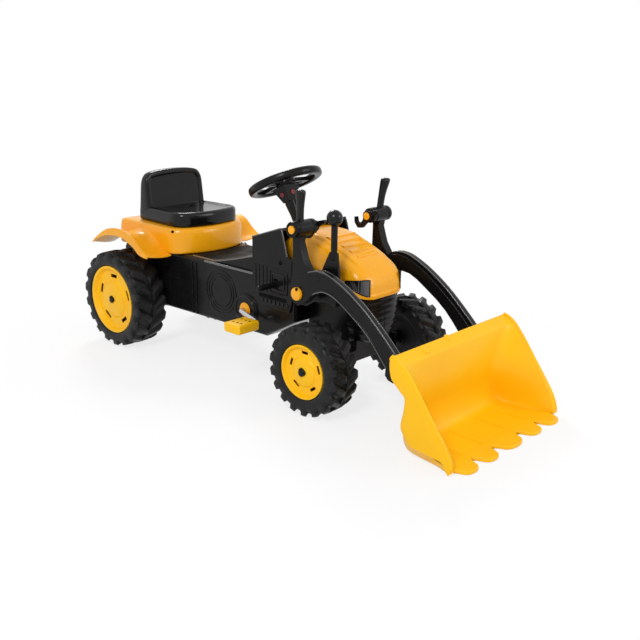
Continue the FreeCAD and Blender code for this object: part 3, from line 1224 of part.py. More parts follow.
def link():
    """The straight rod from the lever to the bucket, with an eye at each end."""
    slope = math.degrees(math.atan2(link_span_z.value, link_span_x.value))
    middle = (link_outer + link_inner) / 2
    rod = cylinder("link_rod", s.link_rod_radius, link_span, (link_start[0], middle, link_start[1]),
                   (Vector(0, 1, 0), 90 - slope))
    eyes = [rod_y(f"link_eye_{number}", s.link_eye_radius, link_outer, link_inner, at[0], at[1])
            for number, at in enumerate((link_start, link_end))]
    holes = [rod_y("link_hole_lever", s.link_pin_radius + s.shaft_gap, link_outer - s.cut_overrun,
                   link_inner + s.cut_overrun, link_start[0], link_start[1]),
             rod_y("link_hole_bucket", s.link_pin_radius + s.link_open_gap, link_outer - s.cut_overrun,
                   link_inner + s.cut_overrun, link_end[0], link_end[1])]
    node(cut("tilt_link", fuse("link_solid", [rod] + eyes), holes), "tilt_link")


def build():
    wheels()
    for side, sign in SIDES:
        hull_half(side, sign)
    bushes()
    rear_axle()
    crank_place = (crank_x, s.crank_height)
    sprocket("drive_sprocket", s.drive_sprocket_radius, s.drive_teeth, s.crank_rod_radius, *crank_place)
    axle_place = (rear_axle_x, s.rear_wheel_radius)
    sprocket("axle_sprocket", s.axle_sprocket_radius, s.axle_teeth, s.axle_radius, *axle_place)
    chain()
    crank()
    tow_hitch()
    rear_body()
    seat()
    console()
    stub_lever()
    steering()
    nose_frame()
    bonnet()
    grille()
    front_axle()
    loader()
    bucket()
    tilt_lever()
    doc.recompute()


def is_sound(shape):
    return not shape.isNull() and shape.isValid() and len(shape.Solids) > 0


def check_and_write():
    """Stops on any failed object or bad shape, then writes each piece."""
    failed = [item.Label for item in doc.Objects if "Invalid" in item.State or "Error" in item.State]
    bad = [item.Label for item in nodes if not is_sound(item.Shape)]
    if failed or bad:
        raise RuntimeError(f"failed objects: {failed}; bad shapes: {bad}")
    os.makedirs("parts", exist_ok=True)
    for item in nodes:
        item.Shape.exportStep(f"parts/{item.Label}.step")


build()
check_and_write()
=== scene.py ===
import math

import bmesh
import bpy
from mathutils import Matrix, Vector


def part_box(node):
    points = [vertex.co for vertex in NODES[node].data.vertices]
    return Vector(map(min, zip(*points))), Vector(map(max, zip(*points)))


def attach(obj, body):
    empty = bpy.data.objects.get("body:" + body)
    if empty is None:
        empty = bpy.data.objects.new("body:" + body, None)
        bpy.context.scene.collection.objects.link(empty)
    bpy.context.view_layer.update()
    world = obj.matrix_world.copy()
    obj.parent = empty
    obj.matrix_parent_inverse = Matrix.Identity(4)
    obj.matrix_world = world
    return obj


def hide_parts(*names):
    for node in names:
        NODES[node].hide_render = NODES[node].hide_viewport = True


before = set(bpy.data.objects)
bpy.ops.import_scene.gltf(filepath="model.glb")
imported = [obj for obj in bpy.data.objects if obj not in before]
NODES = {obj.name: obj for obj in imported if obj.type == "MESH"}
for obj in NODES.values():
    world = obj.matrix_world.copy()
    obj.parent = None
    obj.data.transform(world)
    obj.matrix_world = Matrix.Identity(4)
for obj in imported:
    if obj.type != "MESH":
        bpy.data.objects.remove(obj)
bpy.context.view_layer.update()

# The looks of a ride-on pedal tractor with a front loader. Sizes here are millimetres in the frame
# of the solids: +X forward, +Y to the rider's left, +Z up. "Right" and "left" are the rider's.

MM = 0.001
SIDES = (("right", -1), ("left", 1))
TURN = 2 * math.pi


def node_box(name):
    """Lowest and highest corner of a solid, and its centre, in millimetres."""
    low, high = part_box(name)
    low, high = low / MM, high / MM
    return low, high, (low + high) / 2


# Materials

# The part of a noise's range over which a shade or a roughness changes
NOISE_RANGE = (0.3, 0.7)
# Scale and detail of the noise in a moulded plastic's colour, and in its gloss
FLOW_MARKS = (7, 3)
GLOSS_MARKS = (28, 5)
GRAIN_DETAIL = 2
GRAIN_DEPTH = 0.0004
COAT_ROUGHNESS = 0.12


def settle(node, **values):
    """Sets a node's inputs. A space in an input's name is an underscore here."""
    for name, value in values.items():
        node.inputs[name.replace("_", " ")].default_value = value
    return node


def add_node(tree, kind, **values):
    """A new node with some inputs set."""
    return settle(tree.nodes.new(f"ShaderNode{kind}"), **values)


def start_material(name):
    """A material whose pattern sticks to the piece."""
    material = bpy.data.materials.new(name)
    material.use_nodes = True
    tree = material.node_tree
    add_node(tree, "TexCoord").name = "place"
    return material, tree, tree.nodes["Principled BSDF"]


def add_noise(tree, scale, detail):
    """Cloudy noise over the piece."""
    noise = add_node(tree, "TexNoise", Scale=scale, Detail=detail)
    tree.links.new(tree.nodes["place"].outputs["Object"], noise.inputs["Vector"])
    return noise


def vary_colour(tree, shader, source, dark, light):
    """Base colour between two near shades."""
    ramp = add_node(tree, "ValToRGB")
    for element, position, shade in zip(ramp.color_ramp.elements, NOISE_RANGE, (dark, light)):
        element.position = position
        element.color = (*shade, 1)
    tree.links.new(source.outputs["Fac"], ramp.inputs["Fac"])
    tree.links.new(ramp.outputs["Color"], shader.inputs["Base Color"])


def vary_roughness(tree, shader, source, low, high):
    """Roughness between two values."""
    start, end = NOISE_RANGE
    span = add_node(tree, "MapRange", From_Min=start, From_Max=end, To_Min=low, To_Max=high)
    tree.links.new(source.outputs["Fac"], span.inputs["Value"])
    tree.links.new(span.outputs["Result"], shader.inputs["Roughness"])


def add_bump(tree, shader, source, strength, depth):
    """A fine grain."""
    bump = add_node(tree, "Bump", Strength=strength, Distance=depth)
    tree.links.new(source.outputs["Fac"], bump.inputs["Height"])
    tree.links.new(bump.outputs["Normal"], shader.inputs["Normal"])


def moulded(name, dark, light, rough, coat, grain_scale, grain, specular=0.25):
    """A moulded plastic with faint flow marks, uneven gloss and a fine skin."""
    material, tree, shader = start_material(name)
    vary_colour(tree, shader, add_noise(tree, *FLOW_MARKS), dark, light)
    vary_roughness(tree, shader, add_noise(tree, *GLOSS_MARKS), *rough)
    add_bump(tree, shader, add_noise(tree, grain_scale, GRAIN_DETAIL), grain, GRAIN_DEPTH)
    settle(shader, Specular_IOR_Level=specular, Coat_Weight=coat, Coat_Roughness=COAT_ROUGHNESS)
    return material


def brushed_steel():
    material, tree, shader = start_material("steel_rod")
    settle(shader, Metallic=1)
    dark, light = (0.5, 0.5, 0.52), (0.66, 0.66, 0.68)
    vary_colour(tree, shader, add_noise(tree, scale=30, detail=4), dark, light)
    vary_roughness(tree, shader, add_noise(tree, scale=160, detail=6), low=0.2, high=0.38)
    add_bump(tree, shader, add_noise(tree, scale=700, detail=2), strength=0.06, depth=0.0003)
    return material


YELLOW = moulded("yellow_moulded", dark=(0.9, 0.37, 0.003), light=(0.96, 0.42, 0.005),
                 rough=(0.24, 0.34), coat=0.25, grain_scale=420, grain=0.05)
BUCKET = moulded("bucket_yellow", dark=(0.97, 0.5, 0.001), light=(1, 0.55, 0.002),
                 rough=(0.34, 0.44), coat=0.05, grain_scale=380, grain=0.05)
BLACK = moulded("black_moulded", dark=(0.005, 0.0047, 0.0047), light=(0.008, 0.0074, 0.0072),
                rough=(0.2, 0.32), coat=0.05, grain_scale=520, grain=0.08, specular=0.14)
TYRE = moulded("tyre_moulded", dark=(0.008, 0.008, 0.0082), light=(0.012, 0.012, 0.0124),
               rough=(0.34, 0.5), coat=0.02, grain_scale=650, grain=0.12, specular=0.18)
GLOSS = moulded("black_gloss", dark=(0.004, 0.004, 0.004), light=(0.006, 0.006, 0.006),
                rough=(0.12, 0.2), coat=0.1, grain_scale=300, grain=0.02, specular=0.2)
# Glossy black whose base colour is several times lighter than the black plastic's: the gloss is the plastic's
# own, the lighter colour is a painted highlight on thin edges and beads
PAINTED_HIGHLIGHT = moulded("black_painted_highlight", dark=(0.03, 0.03, 0.031), light=(0.045, 0.045, 0.046),
                rough=(0.16, 0.24), coat=1, grain_scale=300, grain=0.02, specular=0.6)
TREADPLATE = moulded("black_treadplate", dark=(0.003, 0.003, 0.003), light=(0.005, 0.005, 0.005),
                     rough=(0.6, 0.8), coat=0, grain_scale=500, grain=0.2, specular=0.1)
LAMP = moulded("lamp_black", dark=(0.006, 0.0055, 0.0055), light=(0.009, 0.0085, 0.0085),
               rough=(0.14, 0.22), coat=0.2, grain_scale=260, grain=0.02)
LENS = moulded("lamp_lens", dark=(0.06, 0.058, 0.062), light=(0.12, 0.115, 0.12),
               rough=(0.12, 0.2), coat=0.3, grain_scale=260, grain=0.02)
# Near-black and matt: painted shade on thin discs and plates laid where holes, slots and recesses are
PAINTED_SHADE = moulded("painted_hollow_shade", dark=(0.002, 0.002, 0.002), light=(0.004, 0.004, 0.004),
                 rough=(0.7, 0.9), coat=0, grain_scale=300, grain=0.02, specular=0.1)
RED = moulded("red_button", dark=(0.2, 0.006, 0.008), light=(0.27, 0.01, 0.01),
              rough=(0.2, 0.3), coat=0.3, grain_scale=400, grain=0.03)
STEEL = brushed_steel()


# Shapes, in millimetres until they become pieces

SEAM_GAP = 0.001
POLE_RADIUS = 0.05
# The longest part of a side that one rounded corner takes up
CORNER_SHARE = 0.48
# Solids are welded within a distance, and faces within an angle in degrees count as one flat area
WELD_GAP = 0.005
FLAT_ANGLE = 0.5


def clamped(value):
    return min(1, max(0, value))


def circle(count):
    """Angles in equal steps round a turn."""
    return [TURN * step / count for step in range(count)]


def squarish(angle, power):
    """A place on a squarish circle: the smaller the power, the squarer."""
    cos, sin = math.cos(angle), math.sin(angle)
    return math.copysign(abs(cos) ** power, cos), math.copysign(abs(sin) ** power, sin)


def skin(rings, start_cap=True, end_cap=True, closed=True):
    """A surface through rows of points that all have the same count."""
    shape = bmesh.new()
    rows = [[shape.verts.new(point) for point in ring] for ring in rings]
    count = len(rows[0])
    for one, two in zip(rows, rows[1:]):
        for step in range(count if closed else count - 1):
            after = (step + 1) % count
            shape.faces.new((one[step], one[after], two[after], two[step]))
    if start_cap:
        shape.faces.new(rows[0][::-1])
    if end_cap:
        shape.faces.new(rows[-1])
    bmesh.ops.recalc_face_normals(shape, faces=shape.faces[:])
    return shape


def turned(profile, count=48, lobes=0, lobe_depth=0.0):
    """A profile of (along, radius) pairs turned about Z, with shallow lobes if wanted."""
    rings = []
    for along, radius in profile:
        ring = []
        for angle in circle(count):
            reach = max(radius, POLE_RADIUS) * (1 - lobe_depth * (0.5 - 0.5 * math.cos(lobes * angle)))
            ring.append((reach * math.cos(angle), reach * math.sin(angle), along))
        rings.append(ring)
    return skin(rings)


def lay(shape, at, axis=(0, 0, 1)):
    """Turns a shape's Z to an axis and moves it to a place."""
    turn = Vector((0, 0, 1)).rotation_difference(Vector(axis)).to_matrix().to_4x4()
    bmesh.ops.transform(shape, matrix=Matrix.Translation(at) @ turn, verts=shape.verts[:])
    return shape


def merged(shapes):
    """One shape from several."""
    whole = shapes[0]
    for other in shapes[1:]:
        mesh = bpy.data.meshes.new("passing")
        other.to_mesh(mesh)
        other.free()
        whole.from_mesh(mesh)
        bpy.data.meshes.remove(mesh)
    return whole


def rounded(corners, radii, steps=6):
    """A closed outline whose corners are rounded, all alike or each by its own radius."""
    count = len(corners)
    if not isinstance(radii, (list, tuple)):
        radii = [radii] * count
    outline = []
    for index, radius in enumerate(radii):
        corner = Vector(corners[index])
        before, after = Vector(corners[index - 1]) - corner, Vector(corners[(index + 1) % count]) - corner
        start = corner + before.normalized() * min(radius, before.length * CORNER_SHARE)
        end = corner + after.normalized() * min(radius, after.length * CORNER_SHARE)
        for step in range(steps + 1):
            share = step / steps
            outline.append(start * (1 - share) ** 2 + corner * (2 * share * (1 - share)) + end * share ** 2)
    return outline


def spline(points, steps=8):
    """A smooth line through given points."""
    points = [Vector(point) for point in points]
    padded = [points[0] * 2 - points[1]] + points + [points[-1] * 2 - points[-2]]
    line = []
    for one, two, three, four in zip(padded, padded[1:], padded[2:], padded[3:]):
        for step in range(steps):
            t = step / steps
            line.append((two * 2 + (three - one) * t + (one * 2 - two * 5 + three * 4 - four) * t ** 2
                         + (two * 3 - one - three * 3 + four) * t ** 3) * 0.5)
    line.append(points[-1])
    return line


def tube(line, radius, count=10, loop=False):
    """A round rod along a line."""
    rings = []
    side = None
    last = len(line) - 1
    for index, point in enumerate(line):
        if loop:
            ahead = line[(index + 1) % len(line)] - line[index - 1]
        else:
            ahead = line[min(index + 1, last)] - line[max(index - 1, 0)]
        ahead = ahead.normalized()
        side = side or ahead.orthogonal()
        side = (side - ahead * side.dot(ahead)).normalized()
        up = ahead.cross(side)
        rings.append([point + (side * math.cos(a) + up * math.sin(a)) * radius for a in circle(count)])
    if not loop:
        return skin(rings)
    shape = skin(rings + [rings[0]], False, False)
    bmesh.ops.remove_doubles(shape, verts=shape.verts[:], dist=SEAM_GAP)
    return shape


def slab(outline, low, high):
    """A plate: an outline of (x, z) pairs between two places across."""
    rings = [[(x, y, z) for x, z in outline] for y in (low, high)]
    return skin(rings)


def shrunk(outline, by):
    """A closed outline moved inwards by a distance."""
    count = len(outline)
    area = sum(outline[i - 1][0] * outline[i][1] - outline[i][0] * outline[i - 1][1] for i in range(count))
    way = 1 if area > 0 else -1
    moved = []
    for index in range(count):
        along = Vector(outline[(index + 1) % count]) - Vector(outline[index - 1])
        inward = Vector((-along.y, along.x)).normalized() * way
        moved.append(Vector(outline[index]) + inward * by)
    return moved


def closing(ring, shares=(0.75, 0.45, 0.15)):
    """Rings that close the middle of a ring smoothly."""
    middle = sum((Vector(point) for point in ring), Vector((0, 0, 0))) / len(ring)
    return [[middle + (Vector(point) - middle) * share for point in ring] for share in shares]


def strap(line, y, half_wide, half_thick):
    """A flat bar with rounded edges along a line of (x, z) pairs, centred at a place across."""
    rings = []
    last = len(line) - 1
    for index, point in enumerate(line):
        ahead = (line[min(index + 1, last)] - line[max(index - 1, 0)]).normalized()
        ring = []
        for angle in circle(16):
            out, up = squarish(angle, 0.5)
            up *= half_thick
            ring.append((point.x - ahead.y * up, y + out * half_wide, point.y + ahead.x * up))
        rings.append(ring)
    return skin(rings)


def both_sides(half):
    """A closed outline from its left half, listed from back to front."""
    return [Vector((x, -y)) for x, y in half] + [Vector((x, y)) for x, y in reversed(half)]


def round_off(item, width, segments=3, angle=35):
    """Rounds the sharp edges of a piece."""
    bevel = item.modifiers.new("rounding", "BEVEL")
    bevel.width = width * MM
    bevel.segments = segments
    bevel.limit_method = "ANGLE"
    bevel.angle_limit = math.radians(angle)
    bevel.use_clamp_overlap = False
    item.modifiers.new("shading", "WEIGHTED_NORMAL").weight = 60
    return item


def thicken(item, wall, offset):
    """Gives a surface a wall on one side, or in equal parts on both if the offset is 0."""
    solid = item.modifiers.new("wall", "SOLIDIFY")
    solid.thickness = wall * MM
    solid.offset = offset
    return item


def piece(name, shape, body, material, stands_for=(), sharp=40):
    """A finished piece that rides on a body."""
    bmesh.ops.scale(shape, vec=(MM,) * 3, verts=shape.verts[:])
    mesh = bpy.data.meshes.new(name)
    shape.to_mesh(mesh)
    shape.free()
    mesh.materials.append(material)
    mesh.shade_smooth()
    mesh.set_sharp_from_angle(angle=math.radians(sharp))
    item = bpy.data.objects.new(name, mesh)
    bpy.context.scene.collection.objects.link(item)
    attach(item, body)
    if stands_for:
        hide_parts(*stands_for)
    return item


def button(name, radii, heights, count, place, axis, material, body="chassis"):
    """A small round piece: radii of its foot and top, heights of its foot, shoulder and top."""
    (wide, narrow), (foot, shoulder, top) = radii, heights
    profile = [(foot, 0), (foot, wide), (shoulder, wide), (top, narrow), (top, 0)]
    piece(name, lay(turned(profile, count), place, axis), body, material)


def dress(names, material, rounding):
    """Gives solids that keep their shape a material and slightly rounded edges."""
    for name in names:
        item = NODES[name]
        item.data.materials.clear()
        item.data.materials.append(material)
        item.modifiers.new("weld", "WELD").merge_threshold = WELD_GAP * MM
        flat = item.modifiers.new("flat_areas", "DECIMATE")
        flat.decimate_type = "DISSOLVE"
        flat.angle_limit = math.radians(FLAT_ANGLE)
        round_off(item, rounding)


# Wheels

# Place across from the inner side to the outer, share of the height from the bead to the lug top,
# and how far a gap between lugs is cut in and sideways
TREAD = [(-0.86, 0, 0, 0), (-0.97, 0.07, 0, 0), (-1, 0.2, 0, 0), (-1, 0.56, 0, 0), (-1, 0.68, 0, 3),
         (-0.99, 0.8, 4, 7), (-0.96, 0.9, 8, 7), (-0.91, 0.945, 9, 4), (-0.82, 0.965, 9, 1),
         (-0.64, 0.975, 9, 0), (-0.46, 0.985, 9, 0), (-0.28, 0.992, 9, 0), (-0.1, 1, 9, 0),
         (-0.06, 0.97, 7, 0), (-0.04, 0.9, 0, 0), (-0.02, 0.98, 0, 0)]
# The web that closes the inner side: place across, share of the bead's radius
WEB = [(-0.74, 0.21), (-0.72, 0.3), (-0.72, 0.42), (-0.78, 0.55), (-0.78, 0.78), (-0.72, 0.9), (-0.76, 0.97)]
LUG_COUNT = 18
LUG_STEPS = 18
LUG_SKEW = 0.7
LUG_TOP, LUG_FOOT = 0.23, 0.31
RIM_RADIUS = {"rear": 102, "front": 69}
BEAD_GAP = 0.3
# Shares of a hub cap's height and of its radius
CAP_PROFILE = [(0, 0), (0, 1), (0.5, 0.97), (0.8, 0.85), (0.96, 0.6), (1, 0)]
SLEEVE_PROFILE = [(-0.8, 0), (-0.8, 20.5), (0.2, 22.5), (22, 22.5), (22, 0)]


def lug_height(turn, across):
    """How far a place on the tread is on a lug: 1 on its top, 0 in a gap."""
    pitch_place = turn * LUG_COUNT + (0.5 if across > 0 else 0) + LUG_SKEW * abs(across)
    away = abs((pitch_place + 0.5) % 1 - 0.5)
    return clamped((LUG_FOOT - away) / (LUG_FOOT - LUG_TOP))


def tyre(end, side, sign, body):
    """A tyre with two rows of lugs half a pitch apart, closed on its inner side by a web."""
    name = f"{end}_tyre_{side}"
    low, high, centre = node_box(name)
    radius, half = (high.z - low.z) / 2, (high.y - low.y) / 2
    bead = RIM_RADIUS[end] + BEAD_GAP
    outer = [(-across, up, cut, shift) for across, up, cut, shift in TREAD[::-1]]
    rings = []
    for step in range(LUG_COUNT * LUG_STEPS):
        turn = step / (LUG_COUNT * LUG_STEPS)
        spots = [(half * across, bead * share) for across, share in WEB]
        for across, up, cut, shift in TREAD + outer:
            gap = 1 - lug_height(turn, across)
            spots.append((half * across - math.copysign(shift * gap, across),
                          bead + (radius - bead) * up - cut * gap))
        heading = Vector((math.sin(TURN * turn), 0, math.cos(TURN * turn)))
        rings.append([centre + heading * reach + Vector((0, sign * y, 0)) for y, reach in spots])
    shape = skin(rings + [rings[0]], False, False, False)
    bmesh.ops.remove_doubles(shape, verts=shape.verts[:], dist=SEAM_GAP)
    bmesh.ops.recalc_face_normals(shape, faces=shape.faces[:])
    piece(f"{name}_tread", shape, body, TYRE, [name], sharp=48)


def hub_cap(end, side, sign, body):
    """A small dark cap with three soft lobes."""
    name = f"{end}_hub_cap_{side}"
    low, high, centre = node_box(name)
    seat = low.y if sign > 0 else high.y
    radius, height = (high.z - low.z) / 2, high.y - low.y
    profile = [(height * up, radius * out) for up, out in CAP_PROFILE]
    cap = turned(profile, 36, lobes=3, lobe_depth=0.16)
    shape = lay(cap, (centre.x, seat, centre.z), (0, sign, 0))
    piece(f"{name}_lobed", shape, body, BLACK, [name])


def hub_sleeve(end, side, sign, body):
    """A dark sleeve over the inner end of the hub."""
    low, high, centre = node_box(f"{end}_rim_{side}")
    inner = low.y if sign > 0 else high.y
    shape = lay(turned(SLEEVE_PROFILE, 40), (centre.x, inner, centre.z), (0, sign, 0))
    piece(f"{end}_hub_sleeve_{side}", shape, body, BLACK)


def wheels():
    bodies = {("rear", "right"): "rear_drive", ("rear", "left"): "rear_wheel_left",
              ("front", "right"): "front_wheel_right", ("front", "left"): "front_wheel_left"}
    for (end, side), body in bodies.items():
        sign = -1 if side == "right" else 1
        tyre(end, side, sign, body)
        hub_cap(end, side, sign, body)
        hub_sleeve(end, side, sign, body)
    dress([f"{end}_rim_{side}" for end, side in bodies], BUCKET, 1.6)


# Seat and rear body

SEAT_HALF_PLAN = [(-579, 98), (-572, 106), (-500, 111), (-440, 114.5), (-408, 116), (-390, 113),
                  (-374.5, 104), (-360, 82), (-350.5, 44), (-346.5, 12)]
SEAT_BACK_HALF = [(107.5, 388), (107.5, 430), (107, 470), (105, 488), (98.5, 502), (86, 511.5), (58, 516.5),
                  (28, 518.4), (6, 519)]
PAN_LEVELS = [(371, 4), (372.6, 1.5), (376, 0.3), (382, 0), (400, 0.6), (406, 2), (410, 5), (412.2, 9),
              (412.6, 12), (411.8, 15)]
# Share of the pan's last outline and its height, towards the middle
PAN_DISH = [(0.95, 409.8), (0.9, 408.6), (0.75, 408), (0.4, 407.8), (0.1, 407.8)]
# Share of the way from the back's rear face to its front, inset, and how far it is sunk
BACK_LAYERS = [(0, 8, 0), (0.03, 3.5, 0), (0.12, 0.8, 0), (0.25, 0, 0), (0.78, 0, 0), (0.92, 0.8, 0),
               (0.985, 3, 0), (1, 7, 0), (1, 12, 0.4), (1, 14, 2.6), (1, 16, 4.4), (1, 19, 5)]


SEAT_MIDDLE = -465
CORNER_LEAN = 0.4
# Faces of the seat back: place along X, the height at which it holds, and lean
BACK_REAR = (-579, 390, 0.125)
BACK_FRONT = (-527.6, 416, -0.128)


def leaning(face, z):
    """Place along X of a leaning face at a height."""
    x, foot, lean = face
    return x + (z - foot) * lean


def seat_pan():
    """The dished pan."""
    plan = both_sides(spline(SEAT_HALF_PLAN, 5))
    rings = []
    for z, inset in PAN_LEVELS:
        line = shrunk(plan, inset)
        line[0] = plan[0] + Vector((inset * CORNER_LEAN, inset))
        line[-1] = plan[-1] + Vector((inset * CORNER_LEAN, -inset))
        rings.append([Vector((x, y, z)) for x, y in line])
    edge = rings[-1]
    for share, z in PAN_DISH:
        rings.append([(SEAT_MIDDLE + (spot.x - SEAT_MIDDLE) * share, spot.y * share, z) for spot in edge])
    piece("seat_pan", skin(rings), "chassis", GLOSS, ["seat"])


def seat_back():
    """The back, with a raised border round its front."""
    back = [Vector((-y, z)) for y, z in spline(SEAT_BACK_HALF, 5)]
    back += [Vector((-y, z)) for y, z in reversed(back)]
    rings = []
    for share, inset, sink in BACK_LAYERS:
        line = shrunk(back, inset)
        line[0], line[-1] = back[0] + Vector((inset, 0)), back[-1] - Vector((inset, 0))
        ring = []
        for y, z in line:
            rear, front = leaning(BACK_REAR, z), leaning(BACK_FRONT, z)
            ring.append((rear + (front - rear) * share - sink, y, z))
        rings.append(ring)
    rings = closing(rings[0])[::-1] + rings + closing(rings[-1])
    piece("seat_back", skin(rings), "chassis", GLOSS)


def seat():
    """A hard gloss seat."""
    seat_pan()
    seat_back()


# Lines of a fender from back to front: its edge at the top of the lip, its foot on the seat base, and
# the lip's height
FENDER_EDGE = [(-668, 308), (-648, 323), (-613, 344), (-585, 356), (-548, 363), (-512, 363), (-487, 358),
               (-458, 347), (-435, 328), (-412, 312), (-392, 301)]
FENDER_FOOT = [(-676, 296), (-656, 306), (-624, 322), (-598, 336), (-562, 350), (-526, 356), (-498, 353),
               (-468, 342), (-444, 326), (-418, 304), (-386, 295)]
FENDER_LIP = [8, 10, 16, 21, 25, 27, 30, 31, 28, 18, 8]
FENDER_ACROSS = (0, 0.08, 0.18, 0.32, 0.48, 0.64, 0.78, 0.89, 0.96, 1)
FENDER_INNER, FENDER_WIDE, FENDER_OUTER = 137, 82, 220
FENDER_WALL = 4
# How deep the top is hollowed at the fender's ends, and how much more in its middle
FENDER_DIP, FENDER_SAG = 4, 9


def fender(side, sign):
    """A guard over a rear wheel: a hollow top that rises to the seat base, and a deep lip along its edge."""
    edge, foot = spline(FENDER_EDGE, 5), spline(FENDER_FOOT, 5)
    lip = spline([(height, 0) for height in FENDER_LIP], 5)
    outer = sign * FENDER_OUTER
    rows = []
    last = len(edge) - 1
    for index in range(last + 1):
        dip = FENDER_DIP + FENDER_SAG * math.sin(math.pi * index / last)
        row = []
        for across in FENDER_ACROSS:
            spot = foot[index] * (1 - across) + edge[index] * across
            low = dip * math.sin(math.pi * across ** 0.8) + 1.5 * across ** 8
            row.append((spot.x, sign * (FENDER_INNER + FENDER_WIDE * across), spot.y - low))
        x, z = edge[index]
        height = lip[index].x
        row += [(x, outer, z - 4), (x, outer, z - height * 0.6), (x, outer - sign * 0.5, z - height)]
        rows.append(row)
    item = piece(f"fender_{side}", skin(rows, False, False, False), "chassis", YELLOW, sharp=55)
    round_off(thicken(item, FENDER_WALL, sign), 1)


SKIRT_CORNERS = [(-646, -140), (-396, -141), (-371, -128), (-348, -96), (-333, -50), (-328, 0), (-333, 50),
                 (-348, 96), (-371, 128), (-396, 141), (-646, 140)]
SKIRT_RADII = [22, 40, 34, 40, 50, 60, 50, 40, 34, 40, 22]
# Height and inset
SKIRT_LEVELS = [(296.3, 5), (297.5, 2), (300, 0.4), (304, 0), (340, 1.2), (356, 3), (364, 5.5), (368, 9),
                (370, 15)]


def rear_body():
    """The bowed skirt under the seat, with its fenders, and near-black discs as painted shade in its screw
    recesses.
    """
    plan = rounded(SKIRT_CORNERS, SKIRT_RADII, 5)
    rings = [[(x, y, z) for x, y in shrunk(plan, inset)] for z, inset in SKIRT_LEVELS]
    rings += closing(rings[-1])
    piece("seat_base", skin(rings), "chassis", YELLOW, ["rear_body"])
    for side, sign in SIDES:
        fender(side, sign)
        # A near-black disc standing slightly proud: painted shade where a screw recess is
        place, axis = (-385.5, sign * 130.4, 361), (0.45, sign * 0.87, 0.2)
        button(f"seat_screw_shade_{side}", (4.4, 3.4), (-2, 0.3, 0.6), 20, place, axis, PAINTED_SHADE)


# Steering

STEERING_CENTRE = Vector((-55, 0, 526))
STEERING_TILT = math.radians(26)
STEERING_PLACE = Matrix.Translation(STEERING_CENTRE) @ Matrix.Rotation(-STEERING_TILT, 4, "Y")


def on_steering(shape):
    """Moves a shape made about an upright axis to the sloping steering axis."""
    bmesh.ops.transform(shape, matrix=STEERING_PLACE, verts=shape.verts[:])
    return shape


WHEEL_REACH, WHEEL_HALF_WIDE, WHEEL_HALF_HIGH = 91.2, 11.4, 10.8
SPOKE_TURNS = (90, 180, 270)
# Side outlines of a spoke's two bars and of the foot that joins them to the rim
SPOKE_BAR = [(20, -4), (86, -6), (86, 5), (20, 7)]
SPOKE_FOOT = [(62, -5), (88, -7), (88, 5), (62, 4)]
BAR_OFFSET, BAR_HALF, FOOT_HALF = 9, 4.5, 13
WHEEL_MIDDLE = [(-11.4, 0), (-11.4, 24), (-8, 27), (4, 27), (8, 24), (9, 18), (9, 0)]


def steering_rim():
    """The chunky rim, about an upright axis."""
    rings = []
    for angle in circle(72):
        ring = []
        for turn in circle(16):
            out, up = squarish(turn, 0.7)
            reach = WHEEL_REACH + out * WHEEL_HALF_WIDE
            ring.append((reach * math.cos(angle), reach * math.sin(angle), up * WHEEL_HALF_HIGH))
        rings.append(ring)
    rim = skin(rings + [rings[0]], False, False)
    bmesh.ops.remove_doubles(rim, verts=rim.verts[:], dist=SEAM_GAP)
    return rim


def spoke(turn):
    """A double-bar spoke at an angle in degrees."""
    bars = []
    for offset in (-BAR_OFFSET, BAR_OFFSET):
        bars.append(slab(rounded(SPOKE_BAR, 2, 3), offset - BAR_HALF, offset + BAR_HALF))
    shape = merged(bars + [slab(rounded(SPOKE_FOOT, 2, 3), -FOOT_HALF, FOOT_HALF)])
    bmesh.ops.rotate(shape, matrix=Matrix.Rotation(math.radians(turn), 3, "Z"), verts=shape.verts[:])
    return shape


def steering_wheel():
    """A chunky rim, three double-bar spokes and a domed middle."""
    shapes = [steering_rim()] + [spoke(turn) for turn in SPOKE_TURNS] + [turned(WHEEL_MIDDLE, 40)]
    item = piece("steering_wheel_spoked", on_steering(merged(shapes)), "steering", BLACK, ["steering_wheel"])
    round_off(item, 1.2, angle=50)


def steering_column():
    """The flared sleeve with upright flutes."""
    profile = [(-54, 17), (-54.4, 19), (-60, 18.6), (-75, 16.6), (-92, 14.2), (-115, 13.8), (-139.5, 13.8),
               (-139.8, 12)]
    shape = on_steering(turned(profile, 80, 10, 0.1))
    piece("steering_column_fluted", shape, "chassis", BLACK, ["steering_column"], sharp=60)


def steering():
    steering_wheel()
    steering_column()
    dress(["steering_hub"], BLACK, 0.6)
    dress(["horn_button", "sound_button"], RED, 0.8)
    dress(["steering_shaft"], STEEL, 0.4)


# Bonnet, lamps and grille

BONNET_CREST = [(50, 420.6), (95, 420), (140, 414), (185, 398), (230, 379), (262, 362), (284, 343),
                (296, 322), (301, 302), (302, 291)]
# The short stretch of the bonnet that runs into the console
TAIL_CREST = [(27, 409), (38, 416), (52, 420.2)]
BONNET_HALF = 85
NOSE_RADIUS = 46
NOSE_X = 302
BONNET_WALL = 3
# The lower edge falls from a place by a drop in a run
BASE_X, BASE_Z, BASE_DROP, BASE_RUN = 99.3, 334, 30, 140
# The raised band: its height, its half-width and flank as shares of the bonnet's, and where it fades out
BAND_HEIGHT, BAND_HALF, BAND_FLANK = 5, 0.74, 0.04
BAND_END, BAND_FADE = 285, 40


def bonnet_base(x):
    """Height of the bonnet's lower edge."""
    return BASE_Z - BASE_DROP * (x - BASE_X) / BASE_RUN


def bonnet_half(x):
    """Half of the bonnet's width, which shrinks round the nose."""
    past = x - (NOSE_X - NOSE_RADIUS)
    if past <= 0:
        return BONNET_HALF
    return BONNET_HALF - NOSE_RADIUS + math.sqrt(max(0, NOSE_RADIUS ** 2 - past ** 2))


